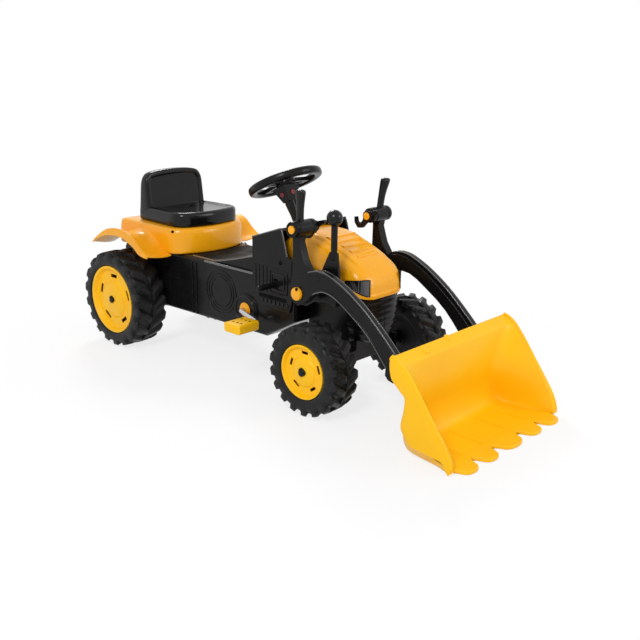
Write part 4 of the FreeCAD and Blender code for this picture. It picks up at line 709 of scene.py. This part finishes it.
def bonnet_section(x, crest):
    """Points across the bonnet at a place along it, from the right edge over the top to the left."""
    base, half = bonnet_base(x), bonnet_half(x)
    rise = max(0.2, crest - base)
    points = []
    count = 72
    for step in range(count + 1):
        across, up = squarish(math.pi * step / count, 2 / 4.6)
        band = clamped((BAND_HALF - abs(across)) / BAND_FLANK) * clamped((BAND_END - x) / BAND_FADE)
        lift = BAND_HEIGHT * band * min(1, rise / BAND_FADE)
        points.append((x, half * -across, base + rise * up + lift - BAND_HEIGHT))
    return points


def bonnet():
    """The rounded bonnet with a raised middle band along its top."""
    for name, crest_line, steps, stands_for in (("bonnet_rounded", BONNET_CREST, 6, ["bonnet"]),
                                                ("bonnet_tail", TAIL_CREST, 4, ())):
        rows = [bonnet_section(x, crest) for x, crest in spline(crest_line, steps)]
        item = piece(name, skin(rows, False, False, False), "chassis", YELLOW, stands_for, sharp=50)
        thicken(item, BONNET_WALL, -1)
    bonnet_lip()
    louvres()
    for side, sign in SIDES:
        headlight(side, sign)


def nose_line(offset, start=214):
    """The bonnet's lower outline seen from above, from the right side round the nose to the left."""
    half, radius = BONNET_HALF + offset, NOSE_RADIUS + offset
    corner = (NOSE_X - NOSE_RADIUS, BONNET_HALF - NOSE_RADIUS)
    line = [(start + (corner[0] - start) * step / 6, -half) for step in range(6)]
    arc = [math.pi / 2 * step / 10 for step in range(11)]
    line += [(corner[0] + radius * math.sin(a), -corner[1] - radius * math.cos(a)) for a in arc]
    line += [(NOSE_X + offset, corner[1] * share) for share in (-0.6, -0.2, 0.2, 0.6)]
    return line + [(x, -y) for x, y in line[:17][::-1]]


# Offset from the bonnet's outline and height over its lower edge
LIP_SECTION = [(-1.7, 3), (0, 2.5), (1.2, -3), (1.4, -8), (0.6, -11), (-4.2, -11), (-4.7, -4)]
LIP_START, LIP_GROWTH = 220, 50


def bonnet_lip():
    """The turned-out lip along the front lower edge of the bonnet."""
    lines = [nose_line(offset) for offset, _ in LIP_SECTION]
    rings = []
    for index in range(len(lines[0])):
        grow = min(1, max(0.08, (lines[0][index][0] - LIP_START) / LIP_GROWTH))
        ring = []
        for line, (_, drop) in zip(lines, LIP_SECTION):
            x, y = line[index]
            ring.append((x, y, bonnet_base(x) + drop * grow))
        rings.append(ring)
    piece("bonnet_lip", skin(rings), "chassis", YELLOW, sharp=55)


def crest_height(x):
    """Height of the bonnet's top line."""
    line = spline(BONNET_CREST, 6)
    for one, two in zip(line, line[1:]):
        if one.x <= x <= two.x:
            return one.y + (two.y - one.y) * (x - one.x) / (two.x - one.x)
    return line[-1].y


LOUVRE_COUNT, LOUVRE_START, LOUVRE_PITCH = 5, 148, 22
LOUVRE_HALF, LOUVRE_TAPER = 50, 3
# Side outline of a louvre: place along X, and height over the bonnet's top line
LOUVRE_STEP = [(-9, -1), (4, 3.2), (7, 2.2), (7, -1)]


def louvres():
    """Low steps across the middle of the bonnet's top."""
    for number in range(LOUVRE_COUNT):
        x = LOUVRE_START + LOUVRE_PITCH * number
        half = LOUVRE_HALF - LOUVRE_TAPER * number
        line = [(x + ahead, crest_height(x + ahead) + up) for ahead, up in LOUVRE_STEP]
        round_off(piece(f"bonnet_louvre_{number}", slab(line, -half, half), "chassis", YELLOW), 0.8)


LAMP_START = 238
LAMP_WALL = 2.4
LAMP_FRAME = 1.9
# Height of a lamp's edge where it starts, and its slope
LAMP_TOP = (322, 0.14)
LAMP_LOW = (318, -0.51)


def lamp_edges(x):
    """Heights of a lamp's upper and lower edge, which part towards the nose."""
    return [height + (x - LAMP_START) * slope for height, slope in (LAMP_TOP, LAMP_LOW)]


def lamp_cover(name, line, sign, material, stands_for):
    """Part of a lamp cover that follows the bonnet's outline and deepens towards the nose."""
    rows = []
    for x, y in line:
        top, low = lamp_edges(x)
        rows.append([(x, y * -sign, low + (top - low) * step / 6) for step in range(7)])
    item = piece(name, skin(rows, False, False, False), "chassis", material, stands_for)
    round_off(thicken(item, LAMP_WALL, 0), 0.7)


def headlight(side, sign):
    """A framed lamp that tapers to a point on the flank: a dark part, and a paler one on the nose corner."""
    line = nose_line(0.9, LAMP_START)
    lamp_cover(f"headlight_{side}_cover", line[:11], sign, LAMP, [f"headlight_{side}"])
    lamp_cover(f"headlight_{side}_lens", line[9:14], sign, LENS, ())
    tops = [Vector((x, y * -sign, lamp_edges(x)[0])) for x, y in line[1:14]]
    lows = [Vector((x, y * -sign, lamp_edges(x)[1])) for x, y in line[1:14]]
    frame_tube = tube(tops + lows[::-1], LAMP_FRAME, 8, True)
    piece(f"headlight_{side}_frame", frame_tube, "chassis", GLOSS, sharp=60)


# Height, half-width and share of the reach forward
GRILLE_LEVELS = [(161, 46, 0.8), (170, 54, 0.9), (190, 67, 0.97), (215, 75, 1), (250, 78, 1), (290, 79.6, 1)]


GRILLE_BACK, GRILLE_FRONT = 239.8, 301.4
RIB_DEPTH, RIB_PITCH = 0.9, 15.5


def grille():
    """The ribbed nose under the bonnet."""
    deep = GRILLE_FRONT - GRILLE_BACK
    line = spline([Vector(level) for level in GRILLE_LEVELS], 14)
    rings = []
    for z, half, reach in line:
        rib = RIB_DEPTH * abs(math.sin(math.pi * (z - GRILLE_LEVELS[0][0]) / RIB_PITCH)) ** 0.6 - RIB_DEPTH
        ring = []
        for step in range(41):
            out, across = squarish(math.pi * step / 40 - math.pi / 2, 0.62)
            x = GRILLE_BACK + deep * reach * out + rib * out
            top = bonnet_base(GRILLE_BACK + deep * out) - 0.5
            ring.append((x, (half + rib) * across, min(z, top)))
        rings.append(ring)
    piece("grille_ribbed", skin(rings), "chassis", BLACK, ["grille"], sharp=60)
    seam = [Vector((GRILLE_BACK + deep * reach - 0.8, 0, z)) for z, _, reach in line[4:-12]]
    piece("grille_seam", tube(seam, 1.6, 10), "chassis", BLACK, sharp=60)


# Loader

ARM_TOP = [(190, 346), (206, 351), (223, 354), (252, 351), (280, 340.5), (312, 324.5), (345, 304), (376, 282),
           (406, 257), (436, 230), (459, 208), (476, 190)]
ARM_FOOT = [(206, 299), (220, 306), (240, 311.5), (266, 308), (291, 297), (320, 279), (356, 254.5),
            (385, 230), (410, 204), (432, 179), (452, 157)]
ARM_RIM_Y, ARM_RIM_HALF_WIDE, ARM_RIM_HALF_THICK = 158.6, 8.6, 3.6
BEAD_PLACES, BEAD_HALF, BEAD_RISE = (165.8, 151.4), 1.5, 2.8


def arms():
    """The arms with raised rims along their upper and lower edges, and beads along the rims in a glossy black
    lighter than the arms, a painted highlight.
    """
    for side, sign in SIDES:
        name = f"loader_arm_{side}"
        dress([name], BLACK, 1.4)
        for edge, line, rise in (("top", ARM_TOP, BEAD_RISE), ("foot", ARM_FOOT, -BEAD_RISE)):
            shape = strap(spline(line, 5), sign * ARM_RIM_Y, ARM_RIM_HALF_WIDE, ARM_RIM_HALF_THICK)
            piece(f"{name}_{edge}_rim", shape, "loader", BLACK, sharp=60)
            for number, y in enumerate(BEAD_PLACES):
                raised = [(x, z + rise) for x, z in line]
                shape = strap(spline(raised, 5), sign * y, BEAD_HALF, BEAD_HALF)
                piece(f"{name}_{edge}_bead_{number}", shape, "loader", PAINTED_HIGHLIGHT, sharp=60)


KNOB_X, KNOB_Z = 150, 449
DRUM_PROFILE = [(98, 0), (98, 8), (107.8, 8), (108, 16), (110, 19.5), (119, 20), (120, 18.4), (124, 18.4),
                (125, 20), (168, 20), (169, 18.4), (172, 18.4), (173, 20), (180, 20), (182.4, 18.6),
                (183, 16), (180.5, 14.5), (180.5, 0)]
# Height over the knob, half-size along X and Y, and lean
GRIP_STATIONS = [(10, 10, 8, 0), (28, 9, 7.4, 1), (48, 9.4, 7.6, 2.8), (66, 10.8, 8.4, 5.2),
                 (80, 12.4, 9.4, 7.4), (88, 13.2, 10, 8.6), (93, 12.4, 9.2, 9.2), (95.4, 9, 6.8, 9.4),
                 (96, 3, 2, 9.4)]
GRIP_Y = 153


def grips():
    """The knob barrels on the posts, with flared grips over them."""
    for side, sign in SIDES:
        shape = lay(turned(DRUM_PROFILE, 48), (KNOB_X, 0, KNOB_Z), (0, sign, 0))
        piece(f"handle_drum_{side}", shape, "loader", BLACK, [f"loader_handle_{side}"])
        rings = []
        for up, half_x, half_y, lean in GRIP_STATIONS:
            ring = []
            for angle in circle(28):
                x, y = squarish(angle, 0.75)
                place_y = sign * (GRIP_Y + lean * 0.9)
                ring.append((KNOB_X + lean + x * half_x, place_y + y * half_y, KNOB_Z + up))
            rings.append(ring)
        piece(f"handle_grip_{side}", skin(rings), "loader", GLOSS, sharp=60)


PIVOT_DOME = [(0, 0), (0, 17), (4, 17), (6.6, 15.6), (7.8, 12), (8, 0)]
KNOB_DOME = [(-2.4, 0), (-2.4, 10), (1.6, 10), (2.6, 8.8), (3, 6), (3, 0)]
KNOB_OUTER, KNOB_INNER = 183, 97


def caps():
    """Yellow caps on the arms' pivots and on the ends of the knobs."""
    for number, (side, sign) in enumerate(SIDES):
        shape = lay(turned(PIVOT_DOME, 40), (154, sign * 165.5, 288), (0, sign, 0))
        piece(f"pivot_cap_{side}", shape, "loader", YELLOW, ["pivot_caps"] if number == 0 else ())
        place = (158, sign * 171.6, 301)
        button(f"pivot_screw_{side}", (4.6, 3.8), (0, 2, 2.6), 18, place, (0, sign, 0), BLACK, "loader")
        for end, (y, heading) in enumerate(((KNOB_OUTER, sign), (KNOB_INNER, -sign))):
            shape = lay(turned(KNOB_DOME, 32), (KNOB_X, sign * y, KNOB_Z), (0, heading, 0))
            first = number == 0 and end == 0
            piece(f"knob_cap_{side}_{end}", shape, "loader", YELLOW, ["knob_caps"] if first else ())


def lever_ball():
    """The ball on top of the tilt lever."""
    low, high, centre = node_box("lever_ball")
    radius = (high.z - low.z) / 2
    arc = [math.pi * step / 24 for step in range(25)]
    shape = lay(turned([(-radius * math.cos(a), radius * math.sin(a)) for a in arc], 48), centre)
    piece("lever_ball_gloss", shape, "lever", GLOSS, ["lever_ball"])


# The bucket from its top edge down the back and along the floor to the lip: the deep line in the middle,
# the rim and the rear edge of the side walls, and the half-width of the deep line, the corners' radius and
# the rim's width
BUCKET_DEEP = [(505, 228.6), (515, 220), (525.5, 210.6), (528.5, 202), (530, 170), (529, 135), (525, 105),
               (520, 80), (519, 56), (523, 33), (531, 18), (543, 11), (570, 9), (620, 8.5), (650, 8.5),
               (664, 8.5)]
BUCKET_RIM = [(503, 228.8), (517, 224), (530, 216), (543, 204), (566, 176), (594, 138), (612, 113.5),
              (627, 93.5), (639, 77), (650, 61), (658.5, 46), (664, 33), (667.5, 22), (669, 14), (670, 9.5),
              (673, 8.8)]
BUCKET_SIDE = [(501, 225), (500, 214), (500, 204), (501.5, 192), (507, 176), (531, 155), (543, 143),
               (541, 110), (535, 75), (543, 58), (561, 37), (590, 33), (620, 31.5), (643, 29.5), (655, 15),
               (667, 2)]
BUCKET_SHAPE = [(229, 3, 6), (222, 10, 7), (212, 18, 8), (203, 24, 9), (190, 34, 10), (178, 40, 11),
                (172, 40, 12), (172, 36, 13), (178, 28, 14), (186, 22, 15), (191, 18, 16), (194, 16, 18),
                (198, 14, 19), (205, 10, 19), (212, 5, 18), (216, 2, 18)]
BUCKET_HALF = 234
BUCKET_WALL = 7.5
# Middle and half-width of each tooth
TEETH = [(-178, 41), (-96, 41), (0, 54), (96, 41), (178, 41)]
# Where the teeth start along X, their reach, the share of the half-width that a tongue takes, and the
# power that makes its end squarish
TOOTH_ROOT, TOOTH_REACH, TOOTH_SHARE, TOOTH_POWER = 664, 36.5, 0.77, 2.4
LIP_BACK, LIP_HALF = 640, 219
LIP_LEVELS = (1.2, 10.4)
FLOOR_RIB = [(546, 10.2), (570, 9.2), (620, 8.8), (672, 9.6)]
FLOOR_RIB_PLACES = (-137, -54.5, 54.5, 137)
RIM_TUBE = 4.2
BUMP_PLACES = [(517, -122, 218), (507.6, -28, 226)]
BUMP_AXIS = (0.66, 0, 0.75)
BUMP_PROFILE = [(-2, 0), (-2, 8), (0.6, 8), (2.8, 7), (4.2, 4.4), (4.6, 0)]


def wall_line(rim, rim_y, deep, deep_y, radius):
    """Half a line across the bucket: down a wall from its rim, round the corner and to the middle."""
    length = max(0.1, (rim - deep).length)
    turn = max(0.3, 1 - radius / length)
    spots = []
    for share in (turn * 0.33, turn * 0.67):
        spots.append((rim + (deep - rim) * share, rim_y + (deep_y - rim_y) * share))
    start, start_y = rim + (deep - rim) * turn, rim_y + (deep_y - rim_y) * turn
    end_y = deep_y - radius
    for step in range(7):
        t = step / 6
        spot = start * (1 - t) ** 2 + deep * (1 - (1 - t) ** 2)
        spots.append((spot, start_y * (1 - t) ** 2 + deep_y * 2 * t * (1 - t) + end_y * t ** 2))
    return spots + [(deep, end_y * 0.66), (deep, end_y * 0.33)]


def side_line(rim, side, out, out_y, radius):
    """Half a line round the outside: along the flat side to its rear edge, then in to the tub's back."""
    spots = [(rim + (side - rim) * share, BUCKET_HALF) for share in (0.3, 0.6, 0.88)]
    spots.append((rim + (side - rim) * 0.97, BUCKET_HALF - 0.8))
    for share in (0.04, 0.14, 0.5, 0.85):
        spots.append((side + (out - side) * share, BUCKET_HALF - 3 + (out_y - BUCKET_HALF + 3) * share))
    end_y = out_y - radius
    return spots + [(out, out_y - 4), (out, end_y), (out, end_y * 0.66), (out, end_y * 0.33)]


def bucket_ring(rim, side, deep, out, shape):
    """A closed line round the bucket's wall: the inside from right to left, then the outside."""
    half, radius, band = shape
    inner_y = BUCKET_HALF - band
    bulge = Vector((0.8, 0.6))
    edge = [(rim, BUCKET_HALF), (rim + bulge * 2.4, BUCKET_HALF - 2),
            (rim + bulge * 3, BUCKET_HALF - band * 0.5), (rim + bulge * 2, inner_y + band * 0.1),
            (rim, inner_y)]
    inside = edge + wall_line(rim, inner_y, deep, half, radius)
    outside = side_line(rim, side, out, half + BUCKET_WALL, radius + BUCKET_WALL)
    ring = [(spot.x, -y, spot.y) for spot, y in inside] + [(deep.x, 0, deep.y)]
    ring += [(spot.x, y, spot.y) for spot, y in reversed(inside)]
    ring += [(spot.x, y, spot.y) for spot, y in outside] + [(out.x, 0, out.y)]
    ring += [(spot.x, -y, spot.y) for spot, y in reversed(outside)]
    return ring


def bucket_tub():
    """The smooth tub with drafted walls and thick rounded rims."""
    deep, rim = spline(BUCKET_DEEP, 4), spline(BUCKET_RIM, 4)
    side, shape = spline(BUCKET_SIDE, 4), spline(BUCKET_SHAPE, 4)
    rings = []
    last = len(deep) - 1
    for index in range(last + 1):
        ahead = (deep[min(index + 1, last)] - deep[max(index - 1, 0)]).normalized()
        out = deep[index] + Vector((ahead.y, -ahead.x)) * BUCKET_WALL
        rings.append(bucket_ring(rim[index], side[index], deep[index], out, shape[index]))
    piece("bucket_tub", skin(rings), "bucket_assembly", BUCKET, ["bucket"], sharp=55)


def bucket_lip():
    """The toothed lip, a plate with rounded tongues, and low ribs on the floor behind its gaps."""
    outline = [(LIP_BACK, -LIP_HALF)]
    for middle, half in TEETH:
        for step in range(17):
            share = step / 8 - 1
            reach = max(0, 1 - abs(share / TOOTH_SHARE) ** TOOTH_POWER) ** (1 / TOOTH_POWER)
            outline.append((TOOTH_ROOT + TOOTH_REACH * reach, middle + half * share))
    outline.append((LIP_BACK, LIP_HALF))
    shape = skin([[(x, y, z) for x, y in outline] for z in LIP_LEVELS])
    round_off(piece("bucket_lip", shape, "bucket_assembly", BUCKET, sharp=35), 2.6)
    for number, y in enumerate(FLOOR_RIB_PLACES):
        line = [Vector((x, y, z)) for x, z in FLOOR_RIB]
        piece(f"bucket_floor_rib_{number}", tube(line, 1.5, 8), "bucket_assembly", BUCKET, sharp=60)


def bucket():
    """The tub with its lip, thick rounded rims and two bumps inside its top edge."""
    bucket_tub()
    bucket_lip()
    for side, sign in SIDES:
        line = [Vector((x + 1.2, sign * (BUCKET_HALF - 4.4), z)) for x, z in spline(BUCKET_RIM[:-2], 4)]
        piece(f"bucket_rim_{side}", tube(line, RIM_TUBE, 12), "bucket_assembly", BUCKET, sharp=60)
    for number, place in enumerate(BUMP_PLACES):
        shape = lay(turned(BUMP_PROFILE, 28), place, BUMP_AXIS)
        piece(f"bucket_bump_{number}", shape, "bucket_assembly", BUCKET)


def loader():
    arms()
    grips()
    caps()
    lever_ball()
    dress(["latch_hook_right", "latch_hook_left", "tilt_lever"], BLACK, 1.4)
    dress(["tilt_link", "bucket_brackets"], BLACK, 0.8)
    dress(["loader_shaft", "bucket_pins"], STEEL, 0.4)
    dress(["lever_pin"], BLACK, 0.4)
    bucket()


# Hull, console and running gear

def raised_ring(name, centre, radius, thick, material, sign):
    """A raised ring on an upright side face."""
    x, y, z = centre
    line = [Vector((x + radius * math.cos(a), sign * y, z + radius * math.sin(a))) for a in circle(64)]
    piece(name, tube(line, thick, 10, True), "chassis", material, sharp=60)


def rectangle(low, high, corner):
    """The outline of a rounded rectangle between two corners."""
    return rounded([(low[0], low[1]), (high[0], low[1]), (high[0], high[1]), (low[0], high[1])], corner, 4)


def frame_line(low, high, corner, y):
    """A rounded rectangle on an upright side face."""
    return [Vector((x, y, z)) for x, z in rectangle(low, high, corner)]


def plate(name, low, high, inner, outer, corner, material):
    """A rounded rectangle of some thickness on an upright side face."""
    shape = slab(rectangle(low, high, corner), inner, outer)
    round_off(piece(name, shape, "chassis", material), min(0.8, abs(outer - inner) * 0.4))


# The deck between the seat and the console, along its middle
DECK_LINE = [(-326, 296), (-236, 296), (-200, 302.3), (-150, 314.5), (-100, 328), (-57, 339.6)]
FOOTPLATE_HALF = 99
DECK_EDGE_Y, DECK_LEDGE_Y = 103.6, 114
DECK_LEDGE = [(-262, 292.5), (-200, 293), (-120, 293), (-56, 293)]
HULL_RINGS, HULL_RING_CENTRE = (62, 52, 42), (-190, 118.2, 217)
CRANK_RING, CRANK_CENTRE = 38, (-86, 123, 188)
SEAM_PLACES, SEAM_WIDE = (-318, -300), 5
SEAM_LOW, SEAM_HIGH = 130, 284
SEAM_INNER, SEAM_OUTER = 117, 120.6


def footplate():
    """A thin matt plate on the deck, between its raised edges."""
    outline = [(x, z + 1.4) for x, z in DECK_LINE] + [(x, z - 1) for x, z in reversed(DECK_LINE)]
    round_off(piece("footplate", slab(outline, -FOOTPLATE_HALF, FOOTPLATE_HALF), "chassis", TREADPLATE), 0.4)


def hull_details():
    """Moulded rings and seams on both sides of the hull, and glossy edges along its deck in a lighter black,
    a painted highlight.
    """
    for side, sign in SIDES:
        for number, radius in enumerate(HULL_RINGS):
            raised_ring(f"hull_ring_{side}_{number}", HULL_RING_CENTRE, radius, 1.8, BLACK, sign)
        raised_ring(f"crank_ring_{side}", CRANK_CENTRE, CRANK_RING, 3, GLOSS, sign)
        x, y, z = CRANK_CENTRE
        place = (x, sign * y, z)
        button(f"crank_disc_{side}", (20, 18.8), (-1, 1.4, 2.2), 40, place, (0, sign, 0), YELLOW)
        ledge = [Vector(spot) for spot in DECK_LEDGE]
        piece(f"deck_ledge_{side}", strap(ledge, sign * DECK_LEDGE_Y, 3.6, 3.4), "chassis", PAINTED_HIGHLIGHT, sharp=60)
        edge = [Vector(spot) for spot in DECK_LINE]
        piece(f"deck_edge_{side}", strap(edge, sign * DECK_EDGE_Y, 3.6, 3), "chassis", PAINTED_HIGHLIGHT, sharp=60)
        for number, x in enumerate(SEAM_PLACES):
            plate(f"hull_seam_{side}_{number}", (x, SEAM_LOW), (x + SEAM_WIDE, SEAM_HIGH),
                  sign * SEAM_INNER, sign * SEAM_OUTER, 2, BLACK)


CONSOLE_EDGE = [(-52.6, 394), (-52.4, 396), (0, 413.6), (53.6, 431.6), (57.6, 424), (67, 392.5), (76.4, 361)]
CONSOLE_EDGE_Y = 123.8


def console_edges():
    """Glossy beads along the console's upper edges, in a black lighter than the console's: a painted
    highlight.
    """
    for side, sign in SIDES:
        line = [Vector((x, sign * CONSOLE_EDGE_Y, z)) for x, z in CONSOLE_EDGE]
        piece(f"console_edge_{side}", tube(line, 1.7, 8), "chassis", PAINTED_HIGHLIGHT, sharp=60)


CONSOLE_FACE = -125
TO_RIGHT = (0, -1, 0)
# Count, first place along X, pitch, width, lower and upper end, and how far they stand out
CONSOLE_RIBS = (4, -44, 14, 6, 255, 326, 1.6)
CONSOLE_TEETH = (7, -17, 15.5, 6, 227, 237, 2.4)


def console_row(name, row, corner, material):
    """A row of upright plates on the console's right side."""
    count, start, pitch, wide, low, high, proud = row
    for number in range(count):
        x = start + pitch * number
        plate(f"{name}_{number}", (x, low), (x + wide, high), CONSOLE_FACE + 1, CONSOLE_FACE - proud, corner,
              material)


def console_details():
    """The gate of the stub lever, upright ribs, a toothed slot and a screw hole, on the right side. The
    gate's socket, the slot and the screw hole are near-black pieces of painted shade.
    """
    shape = tube(frame_line((16, 258), (78, 321), 9, CONSOLE_FACE), 2.4, 10, True)
    piece("gate_frame_outer", shape, "chassis", BLACK, sharp=60)
    shape = tube(frame_line((22, 268), (66, 311), 8, CONSOLE_FACE), 2.6, 10, True)
    piece("gate_frame_inner", shape, "chassis", GLOSS, sharp=60)
    button("gate_socket", (12, 10.5), (-1, 1, 1.8), 32, (36, CONSOLE_FACE, 282), TO_RIGHT, PAINTED_SHADE)
    console_row("console_rib", CONSOLE_RIBS, 2.5, BLACK)
    plate("console_slot", (-28, 239), (76, 250), CONSOLE_FACE + 1, CONSOLE_FACE - 0.4, 5, PAINTED_SHADE)
    console_row("console_tooth", CONSOLE_TEETH, 2, GLOSS)
    button("console_screw_hole", (6, 5), (-1, 0.4, 0.6), 24, (53, CONSOLE_FACE, 342), TO_RIGHT, PAINTED_SHADE)


def chassis():
    dress(["hull_right", "hull_left", "console", "nose_frame", "front_axle_beam"], BLACK, 2)
    dress(["tow_hitch", "stub_lever", "console_screws", "drive_sprocket", "axle_sprocket"], BLACK, 0.8)
    dress(["knuckle_right", "knuckle_left"], BLACK, 1)
    dress(["rear_axle", "crank_shaft", "drive_chain"], STEEL, 0.4)
    dress(["tie_rod"], BLACK, 0.4)
    dress(["rear_axle_bushes", "crank_bushes"], YELLOW, 0.8)
    footplate()
    hull_details()
    console_edges()
    console_details()


PEDAL_PLUG = [(-1, 0), (-1, 9), (0.6, 9), (1.2, 8), (1.4, 0)]
PEDAL_HOLE_PLACES = [(x, y) for y in (-16, 14) for x in (-14, 2, 16)]


def pedals():
    """Squarish blocks with a few small holes in their treads, drawn as near-black discs of painted shade."""
    for side, sign in SIDES:
        name = f"pedal_{side}"
        dress([name], BUCKET, 3)
        low, high, centre = node_box(name)
        place = (centre.x, low.y if sign < 0 else high.y, centre.z)
        shape = lay(turned(PEDAL_PLUG, 28), place, (0, sign, 0))
        piece(f"{name}_plug", shape, f"{side}_pedal", BUCKET)
        for number, (x, y) in enumerate(PEDAL_HOLE_PLACES):
            place = (centre.x + x, centre.y + y, high.z)
            button(f"{name}_hole_{number}", (3.2, 2.6), (-1, 0.2, 0.3), 16, place, (0, 0, 1), PAINTED_SHADE,
                   f"{side}_pedal")


# Stage

# Metres here. The share of plain white in the floor near the object and far from it, and those distances
FLOOR_GLOW = (0.78, 1)
FLOOR_FADE = (0.75, 1.5)
FLOOR_COLOUR = (0.9, 0.9, 0.9)
FLOOR_HALF = 30
# Place, size across and power in watts
LAMPS = {"key": ((1.2, -2.6, 2.6), 1.1, 58), "fill": ((2.6, 1.4, 1.6), 1.4, 24),
         "back": ((-2.2, 1.3, 2.5), 0.9, 56)}
LAMP_AIM = (0, 0, 0.25)
SOFT_COLOUR, SOFT_STRENGTH = (0.95, 0.97, 1), 0.5
WHITE = (1, 1, 1)
# The photograph's camera: its place and the place that it looks at, lens and sensor in millimetres, and
# degrees of roll
CAMERA_EYE, CAMERA_TARGET = (1.541, -1.585, 0.831), (0.0788, 0, 0.1683)
CAMERA_LENS, CAMERA_SENSOR, CAMERA_ROLL = 46.9, 36, 0.8


def seen_rays(tree):
    """1 for the rays that show the backdrop: the camera's, and those that gloss or glass sends on."""
    path = add_node(tree, "LightPath")
    shown = path.outputs["Is Camera Ray"]
    for kind in ("Is Glossy Ray", "Is Transmission Ray"):
        either = add_node(tree, "Math")
        either.operation = "MAXIMUM"
        tree.links.new(shown, either.inputs[0])
        tree.links.new(path.outputs[kind], either.inputs[1])
        shown = either.outputs[0]
    return shown


def blend(tree, share, one, two, output):
    """Sends a blend of two shaders to the output."""
    mix, out = add_node(tree, "MixShader"), add_node(tree, output)
    tree.links.new(share, mix.inputs["Fac"])
    tree.links.new(one.outputs[0], mix.inputs[1])
    tree.links.new(two.outputs[0], mix.inputs[2])
    tree.links.new(mix.outputs[0], out.inputs["Surface"])


def floor_material():
    """Pale and matt near the object, so that the shadow shows, and white farther away."""
    material = bpy.data.materials.new("pale_floor")
    material.use_nodes = True
    tree = material.node_tree
    tree.nodes.clear()
    matt = add_node(tree, "BsdfDiffuse", Color=(*FLOOR_COLOUR, 1))
    glow = add_node(tree, "Emission", Color=(*WHITE, 1))
    place = add_node(tree, "NewGeometry")
    away = add_node(tree, "VectorMath")
    away.operation = "LENGTH"
    (near, far), (least, most) = FLOOR_FADE, FLOOR_GLOW
    fade = add_node(tree, "MapRange", From_Min=near, From_Max=far, To_Min=least, To_Max=most)
    fade.interpolation_type = "SMOOTHSTEP"
    share = add_node(tree, "Math")
    share.operation = "MULTIPLY"
    tree.links.new(place.outputs["Position"], away.inputs[0])
    tree.links.new(away.outputs["Value"], fade.inputs["Value"])
    tree.links.new(seen_rays(tree), share.inputs[0])
    tree.links.new(fade.outputs["Result"], share.inputs[1])
    blend(tree, share.outputs[0], matt, glow, "OutputMaterial")
    return material


def stage():
    """A pale floor, soft lamps, a white background and the camera."""
    mesh = bpy.data.meshes.new("floor")
    half = FLOOR_HALF
    corners = [(-half, -half, 0), (half, -half, 0), (half, half, 0), (-half, half, 0)]
    mesh.from_pydata(corners, [], [(0, 1, 2, 3)])
    mesh.materials.append(floor_material())
    floor = bpy.data.objects.new("floor", mesh)
    bpy.context.scene.collection.objects.link(floor)
    background()
    for name, (at, size, power) in LAMPS.items():
        lamp(name, at, size, power)
    camera()


def background():
    """A dome that lights the object softly and shows white."""
    world = bpy.data.worlds.new("studio")
    bpy.context.scene.world = world
    world.use_nodes = True
    tree = world.node_tree
    tree.nodes.clear()
    soft = add_node(tree, "Background", Color=(*SOFT_COLOUR, 1), Strength=SOFT_STRENGTH)
    white = add_node(tree, "Background", Color=(*WHITE, 1), Strength=1)
    blend(tree, seen_rays(tree), soft, white, "OutputWorld")


def lamp(name, at, size, power):
    """A round soft lamp that looks at the object."""
    data = bpy.data.lights.new(name, "AREA")
    data.shape = "DISK"
    data.size = size
    data.energy = power
    item = bpy.data.objects.new(name, data)
    item.location = at
    aim = Vector(LAMP_AIM) - Vector(at)
    item.rotation_euler = aim.to_track_quat("-Z", "Y").to_euler()
    bpy.context.scene.collection.objects.link(item)


def camera():
    """The photograph's view: a standard lens, a little above the bonnet and slightly rolled."""
    eye, target = Vector(CAMERA_EYE), Vector(CAMERA_TARGET)
    data = bpy.data.cameras.new("photo_view")
    data.sensor_width = CAMERA_SENSOR
    data.lens = CAMERA_LENS
    item = bpy.data.objects.new("photo_view", data)
    turn = (target - eye).to_track_quat("-Z", "Y").to_matrix().to_4x4()
    roll = Matrix.Rotation(math.radians(CAMERA_ROLL), 4, "Z")
    item.matrix_world = Matrix.Translation(eye) @ turn @ roll
    bpy.context.scene.collection.objects.link(item)
    bpy.context.scene.camera = item


def build():
    wheels()
    seat()
    rear_body()
    steering()
    bonnet()
    grille()
    loader()
    chassis()
    pedals()
    stage()
    bpy.context.scene.view_settings.view_transform = "Standard"


build()
